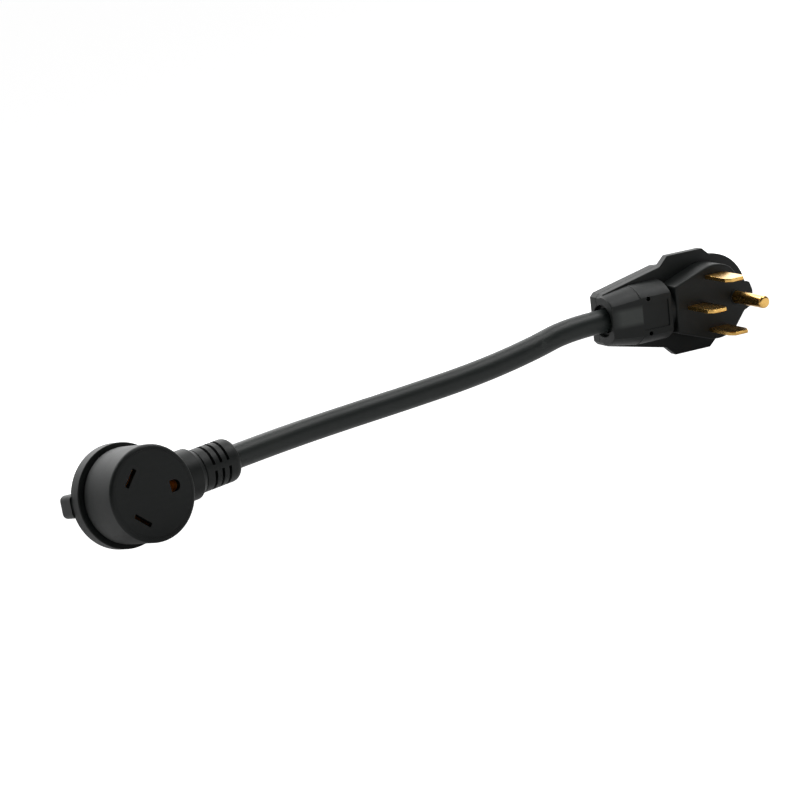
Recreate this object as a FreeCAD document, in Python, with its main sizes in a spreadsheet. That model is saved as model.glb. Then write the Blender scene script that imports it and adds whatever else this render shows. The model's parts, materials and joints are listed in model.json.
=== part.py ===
"""Short adapter cord for a caravan supply: a four-pin right-angle plug, a stiff cord, a three-slot right-angle
connector.

Each head is drawn in its own frame: x along the cord (from the connector's face centre towards its cord, and from
the plug's cord towards its ground pin), y up, z out of the face, with the face at z = 0. The two heads are then hung
on the ends of the cord's line, which lies in the frame of the whole part: +Z up, +X from connector to plug, origin
on the ground under the middle. All sizes are millimetres.
"""
import FreeCAD
import Part

import math
import os
import re

import Sketcher
from FreeCAD import Placement, Rotation, Vector

SIZES = {
    # plug: blades and ground pin
    "hot_spacing": 30.2,
    "blade_width": 12.3,
    "blade_thick": 2.1,
    "blade_reach": 22.0,
    "tip_run": 2.0,
    "tip_drop": 3.2,
    "neutral_offset": 13.2,
    "ground_offset": 14.0,
    "ground_dia": 7.1,
    "ground_reach": 26.8,
    "ground_nose": 1.6,
    "ground_shank": 2.95,
    "base_ring": 4.4,
    "base_ring_proud": 0.6,
    "base_ring_sunk": 1.0,
    "pin_tail": 12.0,
    # plug: front block, with the lobe round the ground pin
    "block_margin": 6.1,
    "flank_x": 26.7,
    "flank_y": 13.4,
    "flank_meet": 7.4,
    "lobe_meet": 11.8,
    "lobe_neck_x": 19.0,
    "lobe_neck_y": 8.8,
    "lobe_side_x": 24.0,
    "lobe_side_y": 6.8,
    "lobe_end": 25.6,
    "lobe_end_half": 2.2,
    # plug: grip plate, cord housing and back cover
    "plate_front": 14.0,
    "plate_thick": 4.7,
    "back_depth": 25.0,
    "ear_half": 28.4,
    "ear_back": 20.8,
    "ear_front": 3.0,
    "ear_slant": 4.6,
    "waist_x": 26.5,
    "waist_half": 23.1,
    "round_centre": 6.5,
    "plate_lip": 3.1,
    "back_step": 3.8,
    "tail_end": 67.5,
    "tail_half": 14.8,
    "tail_corner": 2.2,
    "housing_wall": 10.4,
    "mouth_wall": 7.4,
    "housing_front": 1.0,
    "housing_end": 30.4,
    "housing_cone": 49.5,
    "groove_deep": 4.0,
    "panel_start": 31.5,
    "panel_end": 48.5,
    "panel_half": 7.6,
    "panel_deep": 0.6,
    "core_hole_dia": 2.2,
    "core_hole_deep": 4.0,
    "core_hole_x": 44.5,
    "core_hole_y": 9.8,
    # plug: inside
    "shell_wall": 2.5,
    "side_wall": 2.6,
    "cavity_shoulder_x": 12.0,
    "shoulder_room": 0.1,
    "cavity_end": 42.0,
    "cavity_end_half": 8.6,
    "carrier_thick": 8.0,
    "collar_wall": 2.4,
    "collar_length": 5.5,
    "collar_recess": 1.6,
    "plug_cord_start": 40.0,
    # cord, wires and crimps
    "fit_gap": 0.1,
    "overrun": 1.0,
    "cord_radius": 6.6,
    "wire_radius": 2.1,
    "strand_radius": 1.35,
    "strand_length": 5.0,
    "crimp_radius": 2.7,
    "crimp_length": 8.0,
    "crimp_bite": 0.9,
    "wire_apart": 2.4,
    "wire_pair_lift": 1.2,
    "wire_single_drop": 2.7,
    "wire_straight": 5.0,
    # connector: drum, rear cap and grip bar
    "cord_depth": 18.6,
    "face_radius": 25.0,
    "drum_depth": 26.5,
    "drum_wall": 2.4,
    "face_thick": 3.0,
    "edge_round": 1.0,
    "groove_width": 2.2,
    "rim_lip": 2.4,
    "rim_thick": 8.6,
    "bar_width": 12.4,
    "bar_height": 9.9,
    "bar_overhang": 0.6,
    "bar_round": 3.0,
    # connector: slots and contacts
    "slot_place": 15.2,
    "slot_length": 10.6,
    "slot_width": 2.4,
    "ground_hole_x": 13.1,
    "ground_hole_half": 3.1,
    "ground_hole_flat": 2.6,
    "contact_leaf": 0.8,
    "contact_deep": 17.5,
    "notch_start": 16.0,
    "notch_front": 10.0,
    "connector_cord_start": 27.0,
    # connector: neck and strain relief
    "neck_step": 2.1,
    "neck_flange": 34.7,
    "neck_end": 37.5,
    "sleeve_wall": 2.3,
    "sleeve_start": 30.0,
    "relief_wall": 5.0,
    "relief_lip": 2.7,
    "relief_end": 60.2,
    "relief_round": 3.4,
    "rib_first": 43.2,
    "rib_pitch": 4.5,
    "rib_width": 1.3,
    "rib_deep": 3.7,
    "rib_spine": 3.2,
}
# Sizes that follow from others, each an expression on aliases.
DERIVED = {
    "block_radius": "hot_spacing / 2 + block_margin",
    "round_radius": "block_radius + plate_lip",
    "back_radius": "round_radius - back_step",
    "cavity_radius": "block_radius - side_wall",
    "cavity_shoulder": "hot_spacing / 2 + shoulder_room",
    "housing_half": "cord_radius + housing_wall",
    "housing_mouth": "cord_radius + mouth_wall",
    "collar_radius": "cord_radius + 2 * fit_gap + collar_wall",
    "inlet_radius": "cord_radius + 2 * fit_gap + sleeve_wall",
    "relief_radius": "cord_radius + fit_gap + relief_wall",
    "relief_mouth": "cord_radius + fit_gap + relief_lip",
    "neck_radius": "relief_radius + neck_step",
    "groove_radius": "face_radius - drum_wall",
    "rim_radius": "face_radius + rim_lip",
}
RIB_COUNT = 3
SLOT_ANGLE = 47.0
LEAF_TURN = 45.0
BAR_TURN = -6.0
# Bends of the wires inside the heads: x, y and how far below the crimps.
PLUG_GROUND_BENDS = [(-10.0, -8.4, 1.2), (-24.0, -7.6, 1.6)]
SOCKET_WIRE_BEND = (17.5, 8.6)

# The cord's line, from the connector's mouth to the plug's mouth, in the frame of the whole part.
ROUTE = [
    (-122.55, 29.12, 27.9),
    (-92.75, 28.78, 28.58),
    (-54.75, 24.58, 28.7),
    (-12.75, 17.08, 28.2),
    (29.25, 7.58, 28.4),
    (64.25, 0.08, 31.21),
    (90.75, -5.02, 35.54),
    (112.97, -8.11, 33.57),
]
# How far each head leans forward about its own cord, in degrees.
CONNECTOR_LEAN = 4.5
PLUG_LEAN = 14.4

document = FreeCAD.newDocument("adapter_cord")
sheet = document.addObject("Spreadsheet::Sheet", "Sizes")
for line, (alias, value) in enumerate(SIZES.items(), start=1):
    sheet.set("A%d" % line, alias)
    sheet.set("B%d" % line, str(value))
    sheet.setAlias("B%d" % line, alias)
document.recompute()

nodes = []


def size(alias):
    """One driving dimension, read from the sheet."""
    return float(sheet.get(alias))


def bound(expression):
    """An expression on aliases, with the sheet's name put before each alias and derived sizes written out."""
    def spelled(found):
        word = found[0]
        if word in DERIVED:
            return "(%s)" % bound(DERIVED[word])
        return "Sizes." + word if word in SIZES else word

    return re.sub(r"[a-z_]+", spelled, expression)


def worth(expression):
    """The number that an expression on aliases stands for now."""
    return float(sheet.evalExpression(bound(expression)))


def put(thing, at=("0", "0", "0"), axis=(0, 0, 1), angle=0.0):
    """Stands an object at a point given by three expressions, turned about an axis."""
    thing.Placement = Placement(Vector(), Rotation(Vector(*axis), angle))
    for letter, expression in zip("xyz", at):
        thing.setExpression("Placement.Base." + letter, bound(expression))
    return thing


def rod(name, radius, length, at=("0", "0", "0"), axis=(0, 0, 1), angle=0.0):
    thing = document.addObject("Part::Cylinder", name)
    thing.setExpression("Radius", bound(radius))
    thing.setExpression("Height", bound(length))
    return put(thing, at, axis, angle)


def rod_along(name, radius, start, end, across="0", height="0"):
    """A rod along x, between two places on it."""
    return rod(name, radius, "(%s) - (%s)" % (end, start), (start, across, height), (0, 1, 0), 90)


def cone_along(name, near, far, start, end, height="0"):
    """A cone along x, with its radii at the two places."""
    thing = document.addObject("Part::Cone", name)
    thing.setExpression("Radius1", bound(near))
    thing.setExpression("Radius2", bound(far))
    thing.setExpression("Height", bound("(%s) - (%s)" % (end, start)))
    return put(thing, (start, "0", height), (0, 1, 0), 90)


def box(name, xs, ys, zs):
    """A box between two expressions on each axis."""
    thing = document.addObject("Part::Box", name)
    for side, (low, high) in zip(("Length", "Width", "Height"), (xs, ys, zs)):
        thing.setExpression(side, bound("(%s) - (%s)" % (high, low)))
    return put(thing, (xs[0], ys[0], zs[0]))


def outlined(name, role, corners):
    """A body with a sketch of straight lines through corners, each corner held by two bound distances."""
    body = document.addObject("PartDesign::Body", name)
    sketch = body.newObject("Sketcher::SketchObject", name + "_outline")
    plane = [feature for feature in body.Origin.OriginFeatures if feature.Role == role][0]
    sketch.AttachmentSupport = [(plane, "")]
    sketch.MapMode = "FlatFace"
    places = [(worth(across), worth(up)) for across, up in corners]
    for number, start in enumerate(places):
        end = places[(number + 1) % len(places)]
        sketch.addGeometry(Part.LineSegment(Vector(*start, 0), Vector(*end, 0)))
    for number, corner in enumerate(corners):
        following = (number + 1) % len(corners)
        sketch.addConstraint(Sketcher.Constraint("Coincident", number, 2, following, 1))
        for kind, expression, place in zip(("DistanceX", "DistanceY"), corner, places[number]):
            held = sketch.addConstraint(Sketcher.Constraint(kind, -1, 1, number, 1, place))
            sketch.setExpression("Constraints[%d]" % held, bound(expression))
    return body, sketch


def slab(name, corners, thick, at=("0", "0", "0"), axis=(0, 0, 1), angle=0.0):
    """A flat outline, padded."""
    body, sketch = outlined(name, "XY_Plane", corners)
    pad = body.newObject("PartDesign::Pad", name + "_pad")
    pad.Profile = sketch
    pad.setExpression("Length", bound(thick))
    return put(body, at, axis, angle)


def turned(name, corners, at=("0", "0", "0"), axis=(0, 0, 1), angle=0.0):
    """An outline of (radius, height) corners, turned about its own z axis."""
    body, sketch = outlined(name, "XZ_Plane", corners)
    turn = body.newObject("PartDesign::Revolution", name + "_turn")
    turn.Profile = sketch
    turn.ReferenceAxis = (sketch, ["V_Axis"])
    turn.Angle = 360
    return put(body, at, axis, angle)


def mirrored(corners):
    """Corners above the x axis, followed by the same ones below it."""
    return corners + [(across, "-(%s)" % up) for across, up in reversed(corners)]


def fused(name, *things):
    fusion = document.addObject("Part::MultiFuse", name)
    fusion.Shapes = list(things)
    return fusion


def cut(name, base, *tools):
    """The base less the tools."""
    result = document.addObject("Part::Cut", name)
    result.Base = base
    result.Tool = tools[0] if len(tools) == 1 else fused(name + "_tools", *tools)
    return result


def common(name, base, tool):
    result = document.addObject("Part::Common", name)
    result.Base = base
    result.Tool = tool
    return result


def moved(name, thing, at, angle=0.0):
    """A copy of an object stood at a point, turned about z."""
    group = document.addObject("Part::Compound", name)
    group.Links = [thing]
    return put(group, at, angle=angle)


def node(label, thing, placement):
    """The finished sub-part: its label names its file, and its placement is its head's."""
    piece = document.addObject("Part::Refine", label)
    piece.Source = thing
    piece.Label = label
    nodes.append((piece, placement))
    return piece


def tube_shape(points, radius, report=None):
    """A round tube along straight runs joined by tangent arcs, each as large as its two runs allow."""
    corners = [Vector(*point) for point in points]
    edges = []
    here = corners[0]
    radii = []
    for before, corner, after in zip(corners, corners[1:], corners[2:]):
        back = (before - corner).normalize()
        on = (after - corner).normalize()
        half_turn = (math.pi - back.getAngle(on)) / 2
        reach = 0.45 * min(corner.distanceToPoint(before), corner.distanceToPoint(after))
        radii.append(reach / math.tan(half_turn))
        start = corner + back * reach
        end = corner + on * reach
        bisector = (back + on).normalize()
        centre = corner + bisector * (radii[-1] / math.cos(half_turn))
        middle = centre - bisector * radii[-1]
        edges.append(Part.LineSegment(here, start).toShape())
        edges.append(Part.Arc(start, middle, end).toShape())
        here = end
    edges.append(Part.LineSegment(here, corners[-1]).toShape())
    path = Part.Wire(edges)
    section = Part.Wire(Part.Circle(corners[0], corners[1] - corners[0], radius).toShape())
    solid = path.makePipeShell([section], True, False)
    expected = math.pi * radius**2 * path.Length
    if abs(solid.Volume / expected - 1) > 0.01:
        raise RuntimeError("a tube's volume is not its section times its length")
    if report:
        print(report, "length %.1f, radii" % path.Length, [round(value) for value in radii])
    return solid


def tube(label, points, radius, placement, report=None):
    """A sub-part that is a tube along points."""
    piece = document.addObject("Part::Feature", label)
    piece.Shape = tube_shape(points, radius, report)
    piece.Label = label
    nodes.append((piece, placement))


def head_placement(start, end, mouth, mouth_local, lean):
    """Stands a head with its x along start to end, its face to the front, and its mouth at the cord's end."""
    heading = Vector(*end) - Vector(*start)
    yaw = math.degrees(math.atan2(heading.y, heading.x))
    climb = math.degrees(math.asin(heading.z / heading.Length))
    turn = Rotation(Vector(0, 0, 1), yaw) * Rotation(Vector(0, 1, 0), -climb) * Rotation(Vector(1, 0, 0), 90 + lean)
    return Placement(Vector(*mouth) - turn.multVec(Vector(*mouth_local)), turn)


connector = head_placement(
    ROUTE[0], ROUTE[1], ROUTE[0], (size("relief_end"), 0, -size("cord_depth")), CONNECTOR_LEAN
)
plug = head_placement(
    ROUTE[-2], ROUTE[-1], ROUTE[-1], (-size("tail_end"), 0, -size("plate_front")), PLUG_LEAN
)
ground_frame = Placement()

# Plug: the outline of the front block is a circle, flanks that taper towards the cord, and a lobe for the ground pin.
block_tool = fused(
    "block_form",
    rod("block_round", "block_radius", "plate_front", ("0", "0", "-plate_front")),
    slab(
        "block_flanks",
        mirrored([("-flank_x", "flank_y"), ("-flank_meet", "sqrt(block_radius^2 - flank_meet^2)")]),
        "plate_front",
        ("0", "0", "-plate_front"),
    ),
    slab(
        "block_lobe",
        mirrored([
            ("lobe_meet", "sqrt(block_radius^2 - lobe_meet^2)"),
            ("lobe_neck_x", "lobe_neck_y"),
            ("lobe_side_x", "lobe_side_y"),
            ("lobe_end", "lobe_end_half"),
        ]),
        "plate_front",
        ("0", "0", "-plate_front"),
    ),
)
# The grip plate: a round end, an ear on each side, and a tail that narrows towards the cord.
tail_corners = [
    ("-tail_end", "tail_half - tail_corner"),
    ("-(tail_end - tail_corner)", "tail_half"),
    ("-waist_x", "waist_half"),
]
ear_corners = [
    ("-ear_back", "ear_half"),
    ("ear_front", "ear_half"),
    ("ear_front + ear_slant", "sqrt(round_radius^2 - (ear_front + ear_slant - round_centre)^2)"),
]
plate_back = "-(plate_front + plate_thick)"
plate_form = fused(
    "plate_form",
    rod("plate_round", "round_radius", "plate_thick", ("round_centre", "0", plate_back)),
    slab("plate_ears", mirrored(tail_corners + ear_corners), "plate_thick", ("0", "0", plate_back)),
)
# The housing over the cord: half round, with a flat front, a cone at its mouth and a groove before the block.
housing_round = fused(
    "housing_round",
    cone_along("housing_taper", "housing_mouth", "housing_half", "-tail_end", "-housing_cone", "-plate_front"),
    rod_along("housing_barrel", "housing_half", "-housing_cone", "-housing_end", height="-plate_front"),
    rod_along("housing_bridge", "housing_half - groove_deep", "-housing_end", "-flank_x + groove_deep",
              height="-plate_front"),
)
housing_form = common(
    "housing_form",
    housing_round,
    box("housing_band", ("-tail_end", "0"), ("-housing_half", "housing_half"), ("-plate_front", "-housing_front")),
)
cavity = fused(
    "plug_cavity",
    rod("cavity_round", "cavity_radius", "back_depth - 2 * shell_wall", ("0", "0", "-(back_depth - shell_wall)")),
    slab(
        "cavity_tail",
        mirrored([
            ("-cavity_end", "cavity_end_half"),
            ("-cavity_shoulder_x", "cavity_shoulder"),
            ("0", "cavity_radius"),
        ]),
        "back_depth - 2 * shell_wall",
        ("0", "0", "-(back_depth - shell_wall)"),
    ),
    box("cavity_lobe", ("0", "lobe_side_x - shell_wall"), ("-(lobe_side_y - shell_wall)", "lobe_side_y - shell_wall"),
        ("-(back_depth - shell_wall)", "-shell_wall")),
)
cord_bore = rod_along("plug_cord_bore", "cord_radius + fit_gap", "-tail_end", "-cavity_end + overrun", height="-plate_front")
collar_bore = rod_along(
    "plug_collar_bore", "collar_radius", "-tail_end", "-(tail_end - collar_recess - collar_length)",
    height="-plate_front",
)


def blade(name, across, along, gap="0"):
    """A flat blade with its tip corners cut off, standing out of the face."""
    half = "(blade_width / 2 + %s)" % gap
    corners = [
        ("-" + half, "-pin_tail"),
        ("-" + half, "blade_reach - tip_drop"),
        ("-(%s - tip_run)" % half, "blade_reach"),
        ("%s - tip_run" % half, "blade_reach"),
        (half, "blade_reach - tip_drop"),
        (half, "-pin_tail"),
    ]
    thick = "blade_thick + 2 * " + gap
    return slab(name, corners, thick, (across, "%s + (%s) / 2" % (along, thick), "0"), (1, 0, 0), 90)


PINS = {
    "upper_hot": ("0", "hot_spacing / 2"),
    "lower_hot": ("0", "-hot_spacing / 2"),
    "neutral": ("-neutral_offset", "0"),
}
pin_holes = [blade(name + "_hole", *place, gap="fit_gap") for name, place in PINS.items()]
pin_holes.append(rod("shank_hole", "ground_shank + fit_gap", "pin_tail", ("ground_offset", "0", "-pin_tail")))
pin_holes.append(rod("base_ring_hole", "base_ring + fit_gap", "base_ring_sunk + base_ring_proud",
                     ("ground_offset", "0", "-base_ring_sunk")))
panel = box("blank_panel", ("-panel_end", "-panel_start"), ("-panel_half", "panel_half"),
            ("-(housing_front + panel_deep)", "0"))
core_holes = [
    rod("core_hole_" + side, "core_hole_dia / 2", "core_hole_deep",
        ("-core_hole_x", sign + "core_hole_y", "-(housing_front + core_hole_deep)"))
    for side, sign in (("upper", ""), ("lower", "-"))
]
node(
    "plug_front_shell",
    cut(
        "front_shell_cut",
        fused("front_shell_form", plate_form, block_tool, housing_form),
        cavity, cord_bore, collar_bore, panel, *core_holes, *pin_holes,
    ),
    plug,
)
back_thick = "back_depth - plate_front - plate_thick"
back_form = fused(
    "back_cover_form",
    rod("back_round", "back_radius", back_thick, ("round_centre", "0", "-back_depth")),
    slab("back_tail", mirrored(tail_corners + [("round_centre", "back_radius")]), back_thick,
         ("0", "0", "-back_depth")),
)
node("plug_back_cover", cut("back_cover_cut", back_form, cavity, cord_bore, collar_bore), plug)
carrier_form = fused(
    "pin_carrier_form",
    rod("carrier_round", "cavity_radius - fit_gap", "carrier_thick", ("0", "0", "-(shell_wall + carrier_thick)")),
    box("carrier_lobe", ("0", "lobe_side_x - shell_wall - fit_gap"),
        ("-(lobe_side_y - shell_wall - fit_gap)", "lobe_side_y - shell_wall - fit_gap"),
        ("-(shell_wall + carrier_thick)", "-shell_wall")),
)
node("plug_pin_carrier", cut("pin_carrier_cut", carrier_form, *pin_holes), plug)

# Each wired pin has a crimp barrel behind the carrier that points back to the cord.
crimp_height = "-(pin_tail + crimp_radius - crimp_bite)"
crimp_inside = {"upper_hot": ("0", "hot_spacing / 2 - crimp_radius"), "neutral": ("-neutral_offset", "0"),
                "ground": ("ground_offset", "-crimp_radius")}
crimps = {}
for name, (across, along) in crimp_inside.items():
    end = "%s - crimp_length" % across
    sleeve = rod_along(name + "_barrel", "crimp_radius", end, across, along, crimp_height)
    bore = rod_along(name + "_bore", "strand_radius + fit_gap", end, end + " + strand_length + fit_gap", along,
                     crimp_height)
    crimps[name] = (sleeve, bore)
    strands = rod_along(name + "_strand_rod", "strand_radius", end, end + " + strand_length", along, crimp_height)
    node("plug_%s_strands" % name.replace("upper_", ""), strands, plug)
node("upper_hot_blade", cut("upper_hot_cut", fused("upper_hot_form", blade("upper_hot_flat", *PINS["upper_hot"]),
                                                     crimps["upper_hot"][0]), crimps["upper_hot"][1]), plug)
node("neutral_blade", cut("neutral_cut", fused("neutral_form", blade("neutral_flat", *PINS["neutral"]),
                                                crimps["neutral"][0]), crimps["neutral"][1]), plug)
node("lower_hot_blade", blade("lower_hot_flat", *PINS["lower_hot"]), plug)
ground_turned = turned(
    "ground_turned",
    [
        ("0", "-pin_tail"),
        ("ground_shank", "-pin_tail"),
        ("ground_shank", "-base_ring_sunk"),
        ("base_ring", "-base_ring_sunk"),
        ("base_ring", "base_ring_proud"),
        ("ground_dia / 2", "base_ring_proud"),
        ("ground_dia / 2", "ground_reach - ground_nose"),
        ("ground_dia / 2 - ground_nose", "ground_reach"),
        ("0", "ground_reach"),
    ],
    ("ground_offset", "0", "0"),
)
node("ground_pin", cut("ground_pin_cut", fused("ground_pin_form", ground_turned, crimps["ground"][0]),
                       crimps["ground"][1]), plug)
node(
    "plug_cord_collar",
    cut(
        "collar_cut",
        rod_along("collar_ring", "collar_radius - fit_gap", "-(tail_end - collar_recess)",
                  "-(tail_end - collar_recess - collar_length)", height="-plate_front"),
        cord_bore,
    ),
    plug,
)
node("plug_cord_tail", rod_along("plug_tail_rod", "cord_radius", "-tail_end", "-plug_cord_start",
                                 height="-plate_front"), plug)


def wire(label, start, between, end, placement):
    """An insulated wire from a crimp to the cord's cut face, straight along x at both ends."""
    straight = size("wire_straight") * (1 if end[0] > start[0] else -1)
    leaving = (start[0] + straight, start[1], start[2])
    arriving = (end[0] - straight, end[1], end[2])
    tube(label, [start, leaving] + between + [arriving, end], size("wire_radius"), placement)


def barrel_end(place, level, length):
    """Where a wire enters a crimp barrel."""
    return (worth(place[0]) + length, worth(place[1]), level)


def cord_face(at, axis_height, side):
    """A wire's place on the cord's cut face: a pair on one side of the axis, and a single one on the other."""
    lift = size("wire_single_drop") if side == 0 else -size("wire_pair_lift")
    return (at, side * size("wire_apart"), axis_height + lift)


deep = worth(crimp_height)
plug_axis = -size("plate_front")
plug_cut = -size("plug_cord_start")
barrel = -size("crimp_length")
wire("plug_hot_wire", barrel_end(crimp_inside["upper_hot"], deep, barrel), [],
     cord_face(plug_cut, plug_axis, 1), plug)
wire("plug_neutral_wire", barrel_end(crimp_inside["neutral"], deep, barrel), [],
     cord_face(plug_cut, plug_axis, 0), plug)
around = [(across, along, deep - drop) for across, along, drop in PLUG_GROUND_BENDS]
wire("plug_ground_wire", barrel_end(crimp_inside["ground"], deep, barrel), around,
     cord_face(plug_cut, plug_axis, -1), plug)

# Connector: a drum with a neck, closed at the front by the face and at the back by the rear cap.
drum_form = turned(
    "drum_form",
    [
        ("0", "-drum_depth"),
        ("face_radius", "-drum_depth"),
        ("face_radius", "-edge_round"),
        ("face_radius - edge_round", "0"),
        ("0", "0"),
    ],
)
neck_form = rod_along("neck_form", "neck_radius", "0", "neck_flange", height="-cord_depth")
neck_taper = cone_along("neck_taper", "neck_radius", "relief_radius", "neck_flange", "neck_end", "-cord_depth")
drum_hollow = rod("drum_hollow", "face_radius - drum_wall", "drum_depth", ("0", "0", "-drum_depth"))
inlet = rod_along("cord_inlet", "inlet_radius", "0", "neck_end", height="-cord_depth")
cap_back = "-(drum_depth + groove_width + rim_thick)"
cap_room = fused(
    "cap_room",
    rod("cap_room_rim", "rim_radius", "rim_thick", ("0", "0", cap_back)),
    rod("cap_room_groove", "groove_radius", "groove_width", ("0", "0", "-(drum_depth + groove_width)")),
)
node(
    "connector_body_shell",
    cut("body_shell_cut", fused("body_shell_form", drum_form, neck_form, neck_taper), drum_hollow, inlet, cap_room),
    connector,
)
rim_edge = "rim_radius - edge_round"
rear_cap_form = turned(
    "rear_cap_form",
    [
        ("0", cap_back),
        (rim_edge, cap_back),
        ("rim_radius", cap_back + " + edge_round"),
        ("rim_radius", "-(drum_depth + groove_width)"),
        ("groove_radius", "-(drum_depth + groove_width)"),
        ("groove_radius", "-drum_depth"),
        ("0", "-drum_depth"),
    ],
)
bar_half = "bar_width / 2"
bar_end = "rim_radius + bar_overhang"
grip_bar = slab(
    "grip_bar",
    mirrored([
        ("-(%s)" % bar_end, bar_half + " - bar_round"),
        ("-(%s - bar_round)" % bar_end, bar_half),
        ("%s - bar_round" % bar_end, bar_half),
        (bar_end, bar_half + " - bar_round"),
    ]),
    "bar_height + edge_round",
    ("0", "0", cap_back + " - bar_height"),
    angle=BAR_TURN,
)
node("connector_rear_cap", fused("rear_cap_fused", rear_cap_form, grip_bar), connector)

leaf_slot = box("leaf_slot", ("-slot_length / 2", "slot_length / 2"), ("-slot_width / 2", "slot_width / 2"),
                ("-(face_thick + contact_deep - contact_leaf)", "0"))
leaf_case = box("leaf_case", ("-(slot_length / 2 + contact_leaf)", "slot_length / 2 + contact_leaf"),
                ("-(slot_width / 2 + contact_leaf)", "slot_width / 2 + contact_leaf"),
                ("-(face_thick + contact_deep)", "-face_thick"))
leaf_pocket = box("leaf_pocket",
                  ("-(slot_length / 2 + contact_leaf + fit_gap)", "slot_length / 2 + contact_leaf + fit_gap"),
                  ("-(slot_width / 2 + contact_leaf + fit_gap)", "slot_width / 2 + contact_leaf + fit_gap"),
                  ("-(face_thick + contact_deep)", "-face_thick"))
angled = {
    "hot": (("-slot_place * cos(%g)" % SLOT_ANGLE, "slot_place * sin(%g)" % SLOT_ANGLE, "0"), LEAF_TURN),
    "neutral": (("-slot_place * cos(%g)" % SLOT_ANGLE, "-slot_place * sin(%g)" % SLOT_ANGLE, "0"), -LEAF_TURN),
}


def pin_hole(name, half, flat, front, back):
    """A hole with a round outer side and a flat inner side, for a round ground pin."""
    round_side = rod(name + "_round", half, "(%s) - (%s)" % (front, back), ("ground_hole_x", "0", back))
    flat_side = box(name + "_flat", ("ground_hole_x - (%s)" % flat, "ground_hole_x"),
                    ("-(%s)" % half, half), (back, front))
    return fused(name, round_side, flat_side)


contact_floor = "-(face_thick + contact_deep)"
ground_slot = pin_hole("ground_slot", "ground_hole_half", "ground_hole_flat", "0", contact_floor + " + contact_leaf")
ground_case = pin_hole("ground_case", "ground_hole_half + contact_leaf", "ground_hole_flat + contact_leaf",
                       "-face_thick", contact_floor)
ground_pocket = pin_hole("ground_pocket", "ground_hole_half + contact_leaf + fit_gap",
                         "ground_hole_flat + contact_leaf + fit_gap", "-face_thick", contact_floor)
slots = [moved(name + "_slot", leaf_slot, *place) for name, place in angled.items()] + [ground_slot]
pockets = [moved(name + "_pocket", leaf_pocket, *place) for name, place in angled.items()] + [ground_pocket]
face_disc = rod("face_disc", "face_radius - drum_wall - fit_gap", "face_thick", ("0", "0", "-face_thick"))
node("connector_face", cut("face_cut", face_disc, *slots), connector)
socket_carrier_thick = "contact_deep - crimp_bite - fit_gap"
carrier_back = "-(face_thick + %s)" % socket_carrier_thick
socket_carrier = cut(
    "socket_carrier",
    rod("socket_carrier_round", "face_radius - drum_wall - fit_gap", socket_carrier_thick, ("0", "0", carrier_back)),
    box("carrier_notch", ("notch_start", "face_radius"), ("-face_radius", "face_radius"),
        (carrier_back, "-notch_front")),
    *pockets,
)
node("connector_contact_carrier", socket_carrier, connector)

# Each contact is a brass box that grips the blade, with a crimp barrel under it that points to the cord.
socket_crimp = "-(face_thick + contact_deep + crimp_radius - crimp_bite)"
for name in ("hot", "neutral", "ground"):
    if name == "ground":
        across, along = "ground_hole_x", "0"
        case = cut("ground_contact_box", ground_case, ground_slot)
    else:
        (across, along, level), turn = angled[name]
        case = cut(name + "_contact_box", moved(name + "_case", leaf_case, (across, along, level), turn),
                   slots[0] if name == "hot" else slots[1])
    end = "%s + crimp_length" % across
    barrel = rod_along("socket_%s_barrel" % name, "crimp_radius", across, end, along, socket_crimp)
    bore = rod_along("socket_%s_bore" % name, "strand_radius + fit_gap", end + " - strand_length - fit_gap", end,
                     along, socket_crimp)
    strands = rod_along("socket_%s_rod" % name, "strand_radius", end + " - strand_length", end, along, socket_crimp)
    node("connector_%s_contact" % name,
         cut(name + "_contact_cut", fused(name + "_contact_form", case, barrel), bore), connector)
    node("connector_%s_strands" % name, strands, connector)
node("connector_cord_tail", rod_along("connector_tail_rod", "cord_radius", "connector_cord_start", "relief_end",
                                      height="-cord_depth"), connector)
low = worth(socket_crimp)
cord_axis = -size("cord_depth")
entry = size("connector_cord_start")
socket_ends = {name: (place[0], place[1]) for name, (place, turn) in angled.items()}
for name, side in (("hot", 1), ("neutral", -1)):
    start = barrel_end(socket_ends[name], low, size("crimp_length"))
    wire("connector_%s_wire" % name, start, [(SOCKET_WIRE_BEND[0], side * SOCKET_WIRE_BEND[1], low)],
         (entry, side * size("wire_apart"), cord_axis + size("wire_pair_lift")), connector)
start = barrel_end(("ground_hole_x", "0"), low, size("crimp_length"))
tube("connector_ground_wire", [start, (entry, 0, low)], size("wire_radius"), connector)

# The strain relief slides into the neck on a sleeve. Three pairs of slots, above and below its two spines, let it bend.
relief_form = turned(
    "relief_form",
    [
        ("cord_radius + fit_gap", "sleeve_start"),
        ("inlet_radius - fit_gap", "sleeve_start"),
        ("inlet_radius - fit_gap", "neck_end"),
        ("relief_radius", "neck_end"),
        ("relief_radius", "relief_end - relief_round"),
        ("relief_mouth + (relief_radius - relief_mouth) * sin(45)", "relief_end - relief_round * (1 - cos(45))"),
        ("relief_mouth", "relief_end"),
        ("cord_radius + fit_gap", "relief_end"),
    ],
    ("0", "0", "-cord_depth"), (0, 1, 0), 90,
)
spines = box("rib_spines", ("neck_end", "relief_end"), ("-rib_spine / 2", "rib_spine / 2"),
             ("-(cord_depth + 2 * relief_radius)", "-cord_depth + 2 * relief_radius"))
rib_cuts = []
for number in range(RIB_COUNT):
    start = "rib_first - rib_width / 2 + %d * rib_pitch" % number
    end = "rib_first + rib_width / 2 + %d * rib_pitch" % number
    ring = rod_along("rib_ring_%d" % number, "relief_radius + overrun", start, end, height="-cord_depth")
    core = rod_along("rib_core_%d" % number, "relief_radius - rib_deep", start, end, height="-cord_depth")
    rib_cuts.append(cut("rib_cut_%d" % number, ring, core, spines))
node("connector_strain_relief", cut("relief_cut", relief_form, *rib_cuts), connector)

tube("cord_jacket", ROUTE, size("cord_radius"), ground_frame, "cord")

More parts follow.
